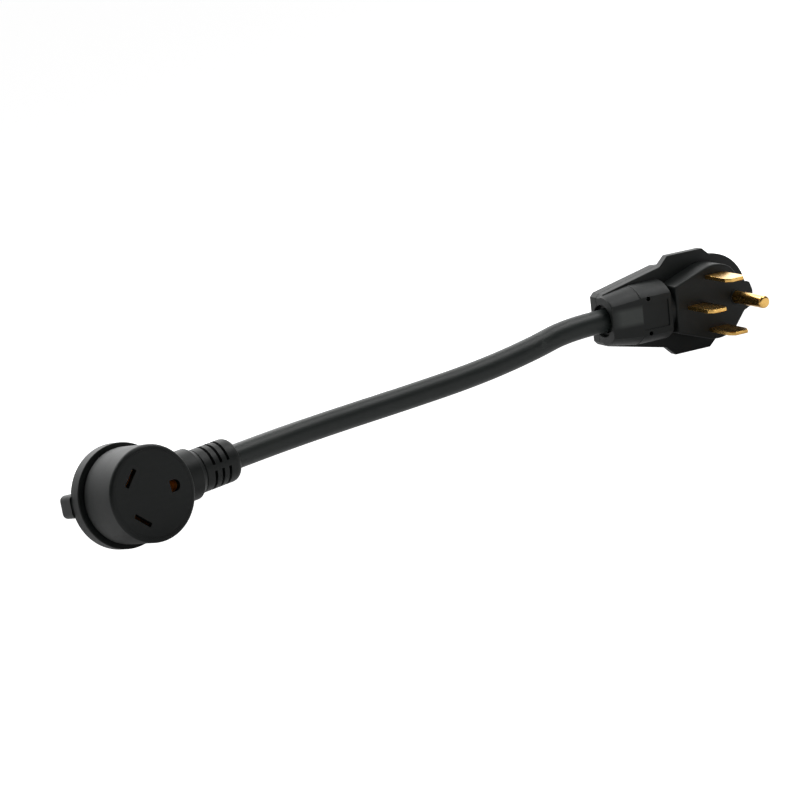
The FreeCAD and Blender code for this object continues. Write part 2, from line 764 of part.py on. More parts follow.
document.recompute()
for piece, placement in nodes:
    piece.Placement = placement
for thing in document.Objects:
    if "Invalid" in thing.State or "Error" in thing.State:
        raise RuntimeError("%s failed to build" % thing.Name)
os.makedirs("parts", exist_ok=True)
for piece, placement in nodes:
    if piece.Shape.isNull() or not piece.Shape.isValid():
        raise RuntimeError("%s has no valid shape" % piece.Label)
    piece.Shape.exportStep("parts/%s.step" % piece.Label)
print("%d sub-parts" % len(nodes))
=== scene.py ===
"""Short adapter cord for a caravan supply: a four-pin right-angle plug, a stiff cord, a three-slot connector.

Each head is modelled in its own frame, in millimetres: x along the cord, y up and z out of the face, with the face at
z = 0. On the connector x points to its cord, and on the plug it points away from its cord, to the ground pin. The
finished mesh is then stood in the frame of the whole object, in metres.
"""
import json
import math

import bmesh
import bpy
from bpy.props import FloatProperty, FloatVectorProperty, IntProperty, PointerProperty
from bpy.types import Operator, Panel, PropertyGroup
from mathutils import Euler, Matrix, Vector


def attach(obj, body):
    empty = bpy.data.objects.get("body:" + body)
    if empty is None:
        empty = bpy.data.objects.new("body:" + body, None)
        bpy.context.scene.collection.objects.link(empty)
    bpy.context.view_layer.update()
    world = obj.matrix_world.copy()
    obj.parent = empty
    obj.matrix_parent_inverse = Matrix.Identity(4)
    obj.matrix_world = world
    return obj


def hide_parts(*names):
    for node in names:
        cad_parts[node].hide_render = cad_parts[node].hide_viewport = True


bl_info = {
    "name": "Adapter Cord",
    "version": (1, 0, 0),
    "blender": (4, 5, 0),
    "location": "View3D > Sidebar > Adapter Cord",
    "description": "Builds the looks of a short caravan adapter cord around its packed frame",
    "category": "Object",
}

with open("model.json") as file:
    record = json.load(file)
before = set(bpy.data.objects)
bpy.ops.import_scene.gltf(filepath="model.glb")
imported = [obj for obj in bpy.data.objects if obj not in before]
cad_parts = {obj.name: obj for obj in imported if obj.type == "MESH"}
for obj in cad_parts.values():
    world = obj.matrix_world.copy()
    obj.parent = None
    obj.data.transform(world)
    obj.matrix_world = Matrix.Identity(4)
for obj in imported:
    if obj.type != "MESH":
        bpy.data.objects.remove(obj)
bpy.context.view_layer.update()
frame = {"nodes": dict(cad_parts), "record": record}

MM = 0.001
BODY = "root"
ROUND = 128
SMOOTH_UNDER = math.radians(28)

# The cord's line, from the connector's mouth to the plug's mouth, in metres.
ROUTE = [
    (-0.12255, 0.02912, 0.0279),
    (-0.09275, 0.02878, 0.02858),
    (-0.05475, 0.02458, 0.0287),
    (-0.01275, 0.01708, 0.0282),
    (0.02925, 0.00758, 0.0284),
    (0.06425, 8e-05, 0.03121),
    (0.09075, -0.00502, 0.03554),
    (0.11297, -0.00811, 0.03357),
]

MOUNTS = {mount["name"]: mount for mount in frame["record"]["mounts"]}


def head_frame(face, pin):
    """The place of a head: its face's middle, with z out of the face and x towards its ground pin or ground hole."""
    origin = Vector(MOUNTS[face]["pos_m"])
    out = Vector(MOUNTS[face]["axis"]).normalized()
    along = Vector(MOUNTS[pin]["pos_m"]) - origin
    along = (along - out * along.dot(out)).normalized()
    turn = Matrix((along, out.cross(along), out)).transposed().to_4x4()
    return Matrix.Translation(origin) @ turn


CONNECTOR = head_frame("socket_face", "ground_socket")
PLUG = head_frame("plug_face", "ground_pin")


def length(name, millimetres, description):
    return FloatProperty(name=name, description=description, default=millimetres * MM, min=0.0, unit="LENGTH")


def colour(name, value, description):
    return FloatVectorProperty(name=name, description=description, default=value, size=3, subtype="COLOR", min=0.0,
                               max=1.0)


def share(name, value, description):
    return FloatProperty(name=name, description=description, default=value, min=0.0, max=1.0, subtype="FACTOR")


class ConnectorSizes(PropertyGroup):
    """The round connector with its neck, strain relief and grip bar."""
    face_radius: length("Face radius", 25.0, "Outer radius of the drum")
    front_round: length("Front rounding", 2.0, "Rounding between the face and the drum's side")
    drum_depth: length("Drum depth", 26.5, "From the face to the groove")
    drum_wall: length("Drum wall", 2.4, "Wall of the drum")
    cord_depth: length("Cord depth", 18.6, "From the face back to the cord's middle")
    groove_width: length("Groove width", 2.2, "Groove between the drum and the rear cap")
    groove_floor: length("Groove floor", 1.0, "How deep the groove is below the drum's side")
    rim_lip: length("Rim lip", 2.4, "How far the rear cap's rim stands out past the drum")
    rim_thick: length("Rim thickness", 8.6, "Thickness of the rear cap's rim")
    bar_width: length("Bar width", 12.4, "Width of the grip bar")
    bar_height: length("Bar height", 9.9, "How far the grip bar stands out behind the cap")
    bar_overhang: length("Bar overhang", 0.6, "How far the bar's ends stand out past the rim")
    bar_round: length("Bar rounding", 3.0, "Rounding of the bar's corners")
    bar_turn: FloatProperty(name="Bar turn", description="Turn of the grip bar about the drum's middle",
                            default=math.radians(-6), subtype="ANGLE")
    slot_place: length("Slot place", 15.2, "From the face's middle to a blade slot's middle")
    slot_length: length("Slot length", 10.6, "Length of a blade slot")
    slot_width: length("Slot width", 2.4, "Width of a blade slot")
    slot_angle: FloatProperty(name="Slot angle", description="Angle between the cord's line and a blade slot's place",
                              default=math.radians(47), subtype="ANGLE")
    ground_hole_x: length("Ground hole place", 13.1, "From the face's middle to the ground hole")
    ground_hole_half: length("Ground hole half", 3.1, "Radius of the ground hole's round side")
    ground_hole_flat: length("Ground hole flat", 2.6, "From the ground hole's middle to its flat side")
    face_thick: length("Face thickness", 3.0, "Thickness of the face")
    hole_bevel: length("Hole bevel", 0.7, "Rounding of the ground hole's edge")
    slot_bevel: length("Slot bevel", 0.25, "Rounding of the blade slots' edges")
    neck_radius: length("Neck radius", 13.8, "Radius of the neck")
    neck_flange: length("Neck flange", 34.7, "Where the neck's flange ends")
    neck_end: length("Neck end", 37.5, "Where the neck meets the strain relief")
    relief_radius: length("Relief radius", 11.7, "Radius of the strain relief")
    relief_mouth: length("Relief mouth", 9.4, "Radius of the strain relief at its rounded end")
    relief_end: length("Relief end", 60.2, "Where the strain relief ends")
    relief_round: length("Relief rounding", 3.4, "Length of the strain relief's rounded end")
    sleeve_start: length("Sleeve start", 30.0, "Where the strain relief's sleeve starts inside the neck")
    sleeve_radius: length("Sleeve radius", 9.0, "Radius of the sleeve inside the neck")
    rib_first: length("First rib slot", 43.2, "Place of the first slot across the strain relief")
    rib_pitch: length("Rib pitch", 4.5, "From one slot to the next")
    rib_width: length("Rib slot width", 1.6, "Width of a slot")
    rib_deep: length("Rib slot depth", 3.7, "Depth of a slot")
    rib_spine: length("Spine width", 3.2, "Width of the spine that is left between the slots")
    rib_count: IntProperty(name="Rib slots", description="Slots on each side of the strain relief", default=3, min=0)


class PlugSizes(PropertyGroup):
    """The plug's block, grip plate, cord housing, back moulding and pins."""
    block_radius: length("Block radius", 21.2, "Radius of the front block")
    block_round: length("Block rounding", 2.2, "Rounding of the front block's face edge")
    flank_x: length("Flank end", 26.7, "Where the block ends on the cord side")
    flank_y: length("Flank half", 13.4, "Half width of the block on the cord side")
    flank_meet: length("Flank meeting", 7.4, "Where the flank meets the block's round side")
    lobe_meet: length("Lobe meeting", 11.8, "Where the ground pin's lobe meets the block's round side")
    lobe_neck_x: length("Lobe neck place", 19.0, "Where the lobe is narrowest")
    lobe_neck_y: length("Lobe neck half", 8.8, "Half width of the lobe's neck")
    lobe_side_x: length("Lobe side place", 24.0, "Where the lobe's side ends")
    lobe_side_y: length("Lobe side half", 6.8, "Half width of the lobe at its side's end")
    lobe_end: length("Lobe end", 25.6, "Where the lobe ends")
    lobe_end_half: length("Lobe end half", 2.2, "Half width of the lobe's end")
    plate_front: length("Plate front", 14.0, "From the block's face back to the grip plate")
    plate_thick: length("Plate thickness", 4.7, "Thickness of the grip plate")
    back_depth: length("Back depth", 25.0, "From the block's face to the back")
    ear_half: length("Ear half", 28.4, "Half width over the two ears")
    ear_back: length("Ear back", 20.8, "Where the ears start on the cord side")
    ear_front: length("Ear front", 3.0, "Where the ears end on the pin side")
    ear_slant: length("Ear slant", 4.6, "Run of the ear's slanted end")
    waist_x: length("Waist place", 26.5, "Where the tail starts")
    waist_half: length("Waist half", 23.1, "Half width where the tail starts")
    round_centre: length("Round centre", 6.5, "Middle of the plate's round end")
    round_radius: length("Round radius", 24.3, "Radius of the plate's round end")
    back_radius: length("Back radius", 20.5, "Radius of the back moulding's round end")
    tail_end: length("Tail end", 67.5, "Where the tail ends")
    tail_half: length("Tail half", 14.8, "Half width of the tail's end")
    tail_corner: length("Tail corner", 2.2, "Size of the tail's cut corners")
    housing_half: length("Housing radius", 17.0, "Radius of the cord housing")
    housing_mouth: length("Housing mouth", 14.0, "Radius of the cord housing at its mouth")
    housing_front: length("Housing front", 1.0, "From the block's face back to the housing's flat front")
    housing_end: length("Housing end", 29.4, "Where the housing ends at the groove")
    housing_cone: length("Housing cone", 49.5, "Where the housing's cone ends")
    mouth_drop: length("Mouth drop", 2.4, "How far the housing's flat front slopes back to its mouth")
    groove_deep: length("Groove depth", 4.0, "Depth of the groove between the housing and the block")
    panel_start: length("Panel start", 31.5, "Where the blank panel starts")
    panel_end: length("Panel end", 48.5, "Where the blank panel ends")
    panel_half: length("Panel half", 7.6, "Half width of the blank panel")
    panel_deep: length("Panel depth", 0.6, "Depth of the blank panel")
    core_hole: length("Core hole", 2.6, "Diameter of the two core-pin holes")
    core_hole_x: length("Core hole place", 44.5, "Place of the core-pin holes along the cord")
    core_hole_y: length("Core hole half spacing", 9.8, "Half the spacing of the core-pin holes")
    core_hole_deep: length("Core hole depth", 4.0, "Depth of the core-pin holes")
    collar_radius: length("Collar bore", 9.2, "Radius of the recess round the cord's mouth")
    collar_recess: length("Collar recess", 2.4, "How far the collar lies inside the mouth")
    collar_length: length("Collar length", 5.5, "Length of the collar")
    hot_spacing: length("Hot spacing", 30.2, "Between the two hot blades")
    neutral_offset: length("Neutral offset", 13.2, "From the hot blades' line to the neutral blade")
    blade_width: length("Blade width", 12.3, "Width of a blade")
    blade_thick: length("Blade thickness", 2.1, "Thickness of a blade")
    blade_reach: length("Blade reach", 22.0, "How far a blade stands out")
    tip_run: length("Tip run", 2.0, "Cut corner at a blade's tip, across")
    tip_drop: length("Tip drop", 3.2, "Cut corner at a blade's tip, along")
    ground_offset: length("Ground offset", 14.0, "From the hot blades' line to the ground pin")
    ground_dia: length("Ground pin", 7.1, "Diameter of the ground pin")
    ground_reach: length("Ground reach", 26.8, "How far the ground pin stands out")
    ground_nose: length("Ground nose", 1.6, "Rounding of the ground pin's tip")
    base_ring: length("Base ring", 4.4, "Radius of the ring at the ground pin's foot")
    base_ring_proud: length("Base ring height", 0.6, "How far that ring stands out of the face")
    pin_tail: length("Pin tail", 12.0, "Length of the pins inside the block")


class CordSizes(PropertyGroup):
    """The free cord."""
    radius: length("Cord radius", 6.6, "Radius of the cord's jacket")
    scuff_at: share("Scuff place", 0.82, "Where along the cord its scuff is")
    scuff_reach: length("Scuff reach", 9.0, "How far the scuff reaches along the cord")


class Finishes(PropertyGroup):
    """Colours of the mouldings and metals."""
    moulding: colour("Moulding", (0.0038, 0.0053, 0.0049), "Matt moulded plastic of both heads")
    jacket: colour("Jacket", (0.0105, 0.0137, 0.0126), "The cord's jacket")
    # This colour is real wear, and also the colour of the painted highlight on the plug's housing front.
    rubbed: colour("Rubbed", (0.05, 0.055, 0.052), "Plastic where it is rubbed or dusty")
    carrier: colour("Carrier", (0.014, 0.014, 0.015), "Rigid plastic that holds the contacts")
    gilt: colour("Bright brass", (0.82, 0.51, 0.16), "Plated blades and ground pin")
    # The dark brass stands partly for stains and partly for painted shade on the pins and blades.
    gilt_dull: colour("Dull brass", (0.50, 0.27, 0.055), "Brass where its plating is stained")
    contact: colour("Contact", (0.86, 0.56, 0.25), "Spring contacts inside the connector")
    copper: colour("Copper", (0.72, 0.36, 0.22), "Bare strands")
    black_wire: colour("Black wire", (0.012, 0.012, 0.012), "Insulation of the hot wire")
    white_wire: colour("White wire", (0.75, 0.74, 0.70), "Insulation of the neutral wire")
    green_wire: colour("Green wire", (0.02, 0.22, 0.06), "Insulation of the ground wire")


class StageSizes(PropertyGroup):
    """Floor, lights and camera."""
    floor_radius: FloatProperty(name="Floor radius", description="Flat part of the round floor", default=3.4,
                                unit="LENGTH")
    sweep: FloatProperty(name="Sweep", description="Radius of the floor's upturned edge", default=1.6, unit="LENGTH")
    floor_glow: FloatProperty(name="Floor glow", description="How bright the pale floor is by itself", default=0.93)
    overhead: FloatProperty(name="Overhead light", description="Power of the overhead panel in watts", default=20.0)
    side: FloatProperty(name="Side light", description="Power of the side panel in watts", default=0.8)
    right: FloatProperty(name="Right light", description="Power of the right panel in watts", default=5.0)
    ambient: FloatProperty(name="Ambient", description="Brightness of the dark side of the room", default=0.06)
    backdrop_glow: FloatProperty(name="Backdrop glow", description="Brightness of the white backdrop", default=2.7)
    backdrop_edge: FloatProperty(name="Backdrop edge", description="Cosine of the angle where the backdrop ends",
                                 default=0.4)
    backdrop_way: FloatVectorProperty(name="Backdrop side", description="Direction towards the backdrop",
                                      default=(0.42, 0.86, 0.29), subtype="DIRECTION")
    table_glow: FloatProperty(name="Table glow", description="How bright the table top is by itself", default=0.28)
    table_radius: FloatProperty(name="Table radius", description="White table top round the cord", default=0.9,
                                unit="LENGTH")
    lens: FloatProperty(name="Lens", description="Focal length in millimetres", default=138.2)


class Millimetres:
    """A property group's lengths in millimetres, and its other values as they are."""

    def __init__(self, group):
        self.group = group

    def __getattr__(self, name):
        value = getattr(self.group, name)
        drawn = self.group.bl_rna.properties[name]
        return value / MM if getattr(drawn, "unit", "NONE") == "LENGTH" else value


# ---------------------------------------------------------------------------------------------- shader maths
class Signal:
    """A shader value. Arithmetic on it adds Math nodes."""

    def __init__(self, finish, socket):
        self.finish = finish
        self.socket = socket

    def math(self, operation, *values):
        return self.finish.add("ShaderNodeMath", dict(enumerate(values)), operation=operation)

    def __add__(self, other):
        return self.math("ADD", self, other)

    def __radd__(self, other):
        return self.math("ADD", other, self)

    def __sub__(self, other):
        return self.math("SUBTRACT", self, other)

    def __rsub__(self, other):
        return self.math("SUBTRACT", other, self)

    def __mul__(self, other):
        return self.math("MULTIPLY", self, other)

    def __rmul__(self, other):
        return self.math("MULTIPLY", other, self)

    def __pow__(self, other):
        return self.math("POWER", self, other)


class Shading:
    """A node tree, the shader that it ends in, and ways to add nodes."""

    def __init__(self, owner, shader):
        owner.use_nodes = True
        self.tree = owner.node_tree
        self.shader = self.tree.nodes[shader]

    def add(self, kind, values=None, output=0, stops=None, **settings):
        """One node: its settings, then the values or links of its sockets. Returns one of its outputs."""
        node = self.tree.nodes.new(kind)
        for name, value in settings.items():
            setattr(node, name, value)
        if stops:
            ramp = node.color_ramp
            for element, (place, tone) in zip((ramp.elements[0], ramp.elements[-1]), (stops[0], stops[-1])):
                element.position = place
                element.color = tone
            for place, tone in stops[1:-1]:
                ramp.elements.new(place).color = tone
        for socket, value in (values or {}).items():
            self.feed(node.inputs[socket], value)
        return Signal(self, node.outputs[output])

    def feed(self, socket, value):
        if isinstance(value, Signal):
            self.tree.links.new(value.socket, socket)
        else:
            socket.default_value = value

    def shade(self, **values):
        """Sets the shader's sockets, named with underscores for spaces."""
        for name, value in values.items():
            self.feed(self.shader.inputs[name.replace("_", " ")], value)

    def place(self, head=None, scale=(1.0, 1.0, 1.0)):
        """Object coordinates, in a head's own frame where one is given, stretched by scale."""
        spot = self.add("ShaderNodeTexCoord", output="Object")
        if head is not None:
            spot = self.add("ShaderNodeMapping", {
                "Vector": spot,
                "Location": head.to_translation(),
                "Rotation": head.to_euler("XYZ"),
            }, vector_type="TEXTURE")
        return self.add("ShaderNodeMapping", {"Vector": spot, "Scale": scale}, vector_type="POINT")

    def noise(self, spot, size, detail=3.0, roughness=0.5):
        """Noise whose grains are about size metres across."""
        return self.add("ShaderNodeTexNoise", {
            "Vector": spot, "Scale": 1.0 / size, "Detail": detail, "Roughness": roughness,
        })

    def spread(self, value, low, high, to_low=0.0, to_high=1.0):
        """A value between low and high, stretched to another range and held inside it."""
        return self.add("ShaderNodeMapRange", {
            "Value": value, "From Min": low, "From Max": high, "To Min": to_low, "To Max": to_high,
        })

    def mix(self, factor, first, second):
        """Two colours mixed."""
        node = self.tree.nodes.new("ShaderNodeMix")
        node.data_type = "RGBA"
        for name, value in (("Factor", factor), ("A", first), ("B", second)):
            sockets = [socket for socket in node.inputs if socket.name == name]
            socket = sockets[0] if name == "Factor" else [one for one in sockets if one.type == "RGBA"][0]
            self.feed(socket, value if isinstance(value, Signal) or name == "Factor" else (*value, 1.0))
        return Signal(self, [one for one in node.outputs if one.type == "RGBA"][0])

    def bump(self, height, distance, strength=1.0, normal=None):
        values = {"Height": height, "Distance": distance, "Strength": strength}
        if normal is not None:
            values["Normal"] = normal
        return self.add("ShaderNodeBump", values)


class Finish(Shading):
    """A material and its nodes."""

    def __init__(self, name):
        self.material = bpy.data.materials.new(name)
        super().__init__(self.material, "Principled BSDF")


def moulded_plastic(name, head, tone, rubbed, grain=0.00035, dust=0.35, painted_sheen=None):
    """Matt moulded plastic: fine grain, faint flow marks along the mould and light rubbing in patches.

    The last argument is a painted highlight: a pale sheen patch on the head's front, given by its two ends along the
    cord, its middle and its half width, in metres.
    """
    finish = Finish(name)
    spot = finish.place(head)
    fine = finish.noise(spot, grain, 2.0)
    patches = finish.noise(spot, 0.014, 4.0, 0.6)
    flow = finish.noise(finish.place(head, (0.12, 1.0, 1.0)), 0.0022, 3.0)
    marks = finish.noise(finish.place(head, (1.0, 0.08, 0.3)), 0.0006, 2.0)
    worn = finish.spread(patches, 0.50, 0.78) * finish.spread(flow, 0.45, 0.75)
    scratched = finish.spread(marks, 0.70, 0.80) * finish.spread(patches, 0.45, 0.70)
    pale = tuple(channel * 0.5 for channel in rubbed)
    base = finish.mix(worn * dust, tone, pale)
    # Painted highlight: a pale sheen patch on the housing's front, mixed towards the paler wear colour.
    if painted_sheen:
        start, end, middle, half = painted_sheen
        x, y, z = (finish.add("ShaderNodeSeparateXYZ", {"Vector": finish.place(head)}, output=axis) for axis in "XYZ")
        side = finish.add("ShaderNodeMath", {0: y - middle}, operation="ABSOLUTE")
        patch = (finish.spread(x, start, start + 0.006) * finish.spread(x, end, end - 0.0008)
                 * finish.spread(side, half + 0.001, half - 0.0016) * finish.spread(z, -0.006, -0.004))
        base = finish.mix(patch * (0.65 + patches * 0.5), base, rubbed)
    finish.shade(
        Base_Color=finish.mix(scratched * 0.35, Signal(finish, base.socket), rubbed),
        Roughness=0.40 + fine * 0.08 + patches * 0.14 + worn * 0.08,
        Normal=finish.bump(flow, 0.00006, 0.35, finish.bump(fine, 0.00004, 0.5)),
        Specular_IOR_Level=0.27,
    )
    return finish.material


def cord_plastic(name, route, tone, rubbed, scuff, reach):
    """Extruded jacket: long draw lines, slow waves over the wires under it, and one scuff."""
    finish = Finish(name)
    run = Vector(route[-1]) - Vector(route[0])
    heading = Matrix.Translation(Vector(route[0])) @ run.to_track_quat("X", "Z").to_matrix().to_4x4()
    lines = finish.noise(finish.place(heading, (0.02, 1.0, 1.0)), 0.0011, 3.0)
    waves = finish.noise(finish.place(heading, (0.45, 1.0, 1.0)), 0.012, 1.0)
    fine = finish.noise(finish.place(heading), 0.0004, 2.0)
    patches = finish.noise(finish.place(heading), 0.017, 4.0, 0.6)
    spot = finish.add("ShaderNodeTexCoord", output="Object")
    away = finish.add("ShaderNodeVectorMath", {0: spot, 1: scuff}, operation="DISTANCE", output="Value")
    smear = finish.noise(finish.place(heading, (0.5, 1.0, 1.0)), 0.0022, 4.0, 0.65)
    scuffed = finish.spread(away, reach, reach * 0.25) * finish.spread(smear, 0.48, 0.62)
    worn = finish.spread(patches, 0.50, 0.80) * 0.3
    base = finish.mix(worn, tone, tuple(channel * 0.5 for channel in rubbed))
    finish.shade(
        Base_Color=finish.mix(scuffed * 0.7, base, rubbed),
        Roughness=0.36 + lines * 0.10 + patches * 0.10 + scuffed * 0.12,
        Normal=finish.bump(waves, 0.0006, 0.5, finish.bump(lines + fine * 0.5, 0.00005, 0.5)),
        Specular_IOR_Level=0.29,
    )
    return finish.material


def bright_brass(name, head, bright, stained_and_shaded, along):
    """Plated brass: drawn lines along the pin, and a darker brass in patches and towards the foot. The patches are
    partly stains and partly painted shade; the darkening towards the foot is painted shade where the pin meets the
    face.
    """
    finish = Finish(name)
    lines = finish.noise(finish.place(head, along), 0.0005, 3.0)
    stains = finish.noise(finish.place(head), 0.0042, 4.0, 0.6)
    depth = finish.add("ShaderNodeSeparateXYZ", {"Vector": finish.place(head)}, output="Z")
    # Painted shade: darker towards the foot, where the pin stands out of the plug's face.
    foot = finish.spread(depth, 0.020, 0.002)
    stained = finish.spread(stains + foot * 0.30, 0.46, 0.90)
    finish.shade(
        Base_Color=finish.mix(stained, bright, stained_and_shaded),
        Metallic=1.0,
        Roughness=0.17 + lines * 0.12 + stained * 0.08,
        Normal=finish.bump(lines, 0.00002, 0.3),
    )
    return finish.material


def spring_metal(name, head, tone, rough=0.28):
    """Stamped contact metal with a drawn surface and some darkening."""
    finish = Finish(name)
    lines = finish.noise(finish.place(head, (1.0, 1.0, 0.1)), 0.0005, 3.0)
    patches = finish.noise(finish.place(head), 0.003, 3.0, 0.6)
    finish.shade(
        Base_Color=finish.mix(finish.spread(patches, 0.45, 0.7) * 0.6, tone, tuple(c * 0.35 for c in tone)),
        Metallic=1.0,
        Roughness=rough + lines * 0.12 + patches * 0.10,
        Normal=finish.bump(lines, 0.00003, 0.5),
    )
    return finish.material


def insulation(name, head, tone):
    """Smooth extruded insulation of one wire."""
    finish = Finish(name)
    lines = finish.noise(finish.place(head, (0.05, 1.0, 1.0)), 0.0006, 2.0)
    patches = finish.noise(finish.place(head), 0.004, 3.0)
    finish.shade(
        Base_Color=finish.mix(patches * 0.5, tone, tuple(channel * 0.7 for channel in tone)),
        Roughness=0.24 + lines * 0.12,
        Normal=finish.bump(lines, 0.00003, 0.4),
    )
    return finish.material


def stranded_copper(name, head, tone):
    """Bare strands, laid at a slant round their bundle."""
    finish = Finish(name)
    slant = finish.add("ShaderNodeTexWave", {
        "Vector": finish.place(head), "Scale": 420.0, "Distortion": 0.6, "Detail": 1.0,
    }, wave_type="BANDS", bands_direction="DIAGONAL")
    wave = finish.add("ShaderNodeSeparateColor", {"Color": slant}, output="Red")
    finish.shade(
        Base_Color=finish.mix(wave, tuple(channel * 0.45 for channel in tone), tone),
        Metallic=1.0,
        Roughness=0.30 + (1 - wave) * 0.15,
        Normal=finish.bump(wave, 0.0002, 0.8),
    )
    return finish.material


# ---------------------------------------------------------------------------------------------- mesh work
def soften(mesh, edges, width, segments=4):
    """Rounds some edges."""
    bmesh.ops.bevel(mesh, geom=edges, offset=width, offset_type="OFFSET", segments=segments, profile=0.5,
                    affect="EDGES", clamp_overlap=True, material=-1)


def level_edges(mesh, height):
    """The edges that lie at one height."""
    return [edge for edge in mesh.edges if all(abs(vert.co.z - height) < 1e-4 for vert in edge.verts)]


def rounded(corners, steps=5):
    """An outline's corners, (x, y, radius), with each one that has a radius rounded by an arc."""
    points = []
    for number, (x, y, radius) in enumerate(corners):
        here = Vector((x, y))
        before = Vector(corners[number - 1][:2]) - here
        after = Vector(corners[(number + 1) % len(corners)][:2]) - here
        half = before.angle(after) / 2
        if radius <= 0 or abs(half - math.pi / 2) < 1e-3:
            points.append(here)
            continue
        reach = min(radius / math.tan(half), 0.48 * before.length, 0.48 * after.length)
        centre = here + (before.normalized() + after.normalized()).normalized() * (reach / math.cos(half))
        first = here + before.normalized() * reach - centre
        turn = (here + after.normalized() * reach - centre).angle_signed(first)
        points += [centre + Matrix.Rotation(turn * step / steps, 2) @ first for step in range(steps + 1)]
    return points


def arc(centre, radius, start, end, steps):
    """Points on an arc about a place on the x axis, between two angles in degrees."""
    angles = [math.radians(start + (end - start) * step / steps) for step in range(steps + 1)]
    return [(centre + radius * math.cos(angle), radius * math.sin(angle), 0.0) for angle in angles]


def whole(half):
    """An outline's upper half, (x, y, radius), followed by its lower half."""
    return half + [(x, -y, radius) for x, y, radius in reversed(half) if y > 1e-6]


def prism(outline, low, high, mesh=None):
    """A closed slab between two heights."""
    mesh = mesh or bmesh.new()
    base = mesh.faces.new([mesh.verts.new((point[0], point[1], low)) for point in outline])
    raised = bmesh.ops.extrude_face_region(mesh, geom=[base])["geom"]
    verts = [item for item in raised if isinstance(item, bmesh.types.BMVert)]
    bmesh.ops.translate(mesh, vec=(0, 0, high - low), verts=verts)
    bmesh.ops.recalc_face_normals(mesh, faces=mesh.faces)
    return mesh


def turned(profile, closed=True, steps=ROUND):
    """A profile of (radius, height) corners, turned about the z axis. An open one starts and ends on the axis."""
    mesh = bmesh.new()
    verts = [mesh.verts.new((radius, 0, height)) for radius, height in profile]
    pairs = list(zip(verts, verts[1:])) + ([(verts[-1], verts[0])] if closed else [])
    edges = [mesh.edges.new(pair) for pair in pairs]
    bmesh.ops.spin(mesh, geom=verts + edges, cent=(0, 0, 0), axis=(0, 0, 1), angle=math.tau, steps=steps,
                   use_merge=True, use_duplicate=False)
    bmesh.ops.remove_doubles(mesh, verts=mesh.verts, dist=1e-4)
    bmesh.ops.recalc_face_normals(mesh, faces=mesh.faces)
    return mesh


def curved(centre, radius, start, end, steps=6):
    """Profile points on an arc about a (radius, height) centre, between two angles in degrees."""
    angles = [math.radians(start + (end - start) * step / steps) for step in range(steps + 1)]
    return [(centre[0] + radius * math.cos(angle), centre[1] + radius * math.sin(angle)) for angle in angles]


def along_cord(mesh, height):
    """Lays a mesh that was turned about z along x, with its axis at a height."""
    mesh.transform(Matrix.Translation((0, 0, height)) @ Matrix.Rotation(math.pi / 2, 4, "Y"))
    return mesh


def combined(base, tool, operation):
    """Two closed meshes made one: joined, cut or only what they share."""
    things = []
    for mesh in (base, tool):
        data = bpy.data.meshes.new("work")
        mesh.to_mesh(data)
        mesh.free()
        thing = bpy.data.objects.new("work", data)
        bpy.context.scene.collection.objects.link(thing)
        things.append(thing)
    join = things[0].modifiers.new("join", "BOOLEAN")
    join.operation = operation
    join.object = things[1]
    join.solver = "EXACT"
    bpy.context.view_layer.update()
    evaluated = things[0].evaluated_get(bpy.context.evaluated_depsgraph_get())
    result = bmesh.new()
    result.from_mesh(evaluated.to_mesh())
    evaluated.to_mesh_clear()
    for thing in things:
        data = thing.data
        bpy.data.objects.remove(thing)
        bpy.data.meshes.remove(data)
    bmesh.ops.remove_doubles(result, verts=result.verts, dist=1e-4)
    if len(result.faces) == 0:
        raise RuntimeError("a %s left nothing" % operation.lower())
    return result


def piece(name, mesh, head, material, slot, *nodes):
    """Stands a finished mesh in its head's place and makes it a piece of the object."""
    bmesh.ops.remove_doubles(mesh, verts=mesh.verts, dist=1e-4)
    bmesh.ops.recalc_face_normals(mesh, faces=mesh.faces)
    mesh.transform(head @ Matrix.Scale(MM, 4))
    data = bpy.data.meshes.new(name)
    mesh.to_mesh(data)
    mesh.free()
    for polygon in data.polygons:
        polygon.use_smooth = True
    data.set_sharp_from_angle(angle=SMOOTH_UNDER)
    data.materials.append(material)
    thing = bpy.data.objects.new(name, data)
    bpy.context.scene.collection.objects.link(thing)
    even = thing.modifiers.new("even_normals", "WEIGHTED_NORMAL")
    even.keep_sharp = True
    even.mode = "FACE_AREA"
    even.weight = 60
    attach(thing, BODY)
    if nodes:
        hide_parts(*nodes)
    return thing


def finishes():
    return bpy.context.scene.adapter_finishes


def head_plastic(name, head, painted_sheen=None):
    """The moulding material for one piece of a head."""
    return moulded_plastic(name, head, tuple(finishes().moulding), tuple(finishes().rubbed), painted_sheen=painted_sheen)


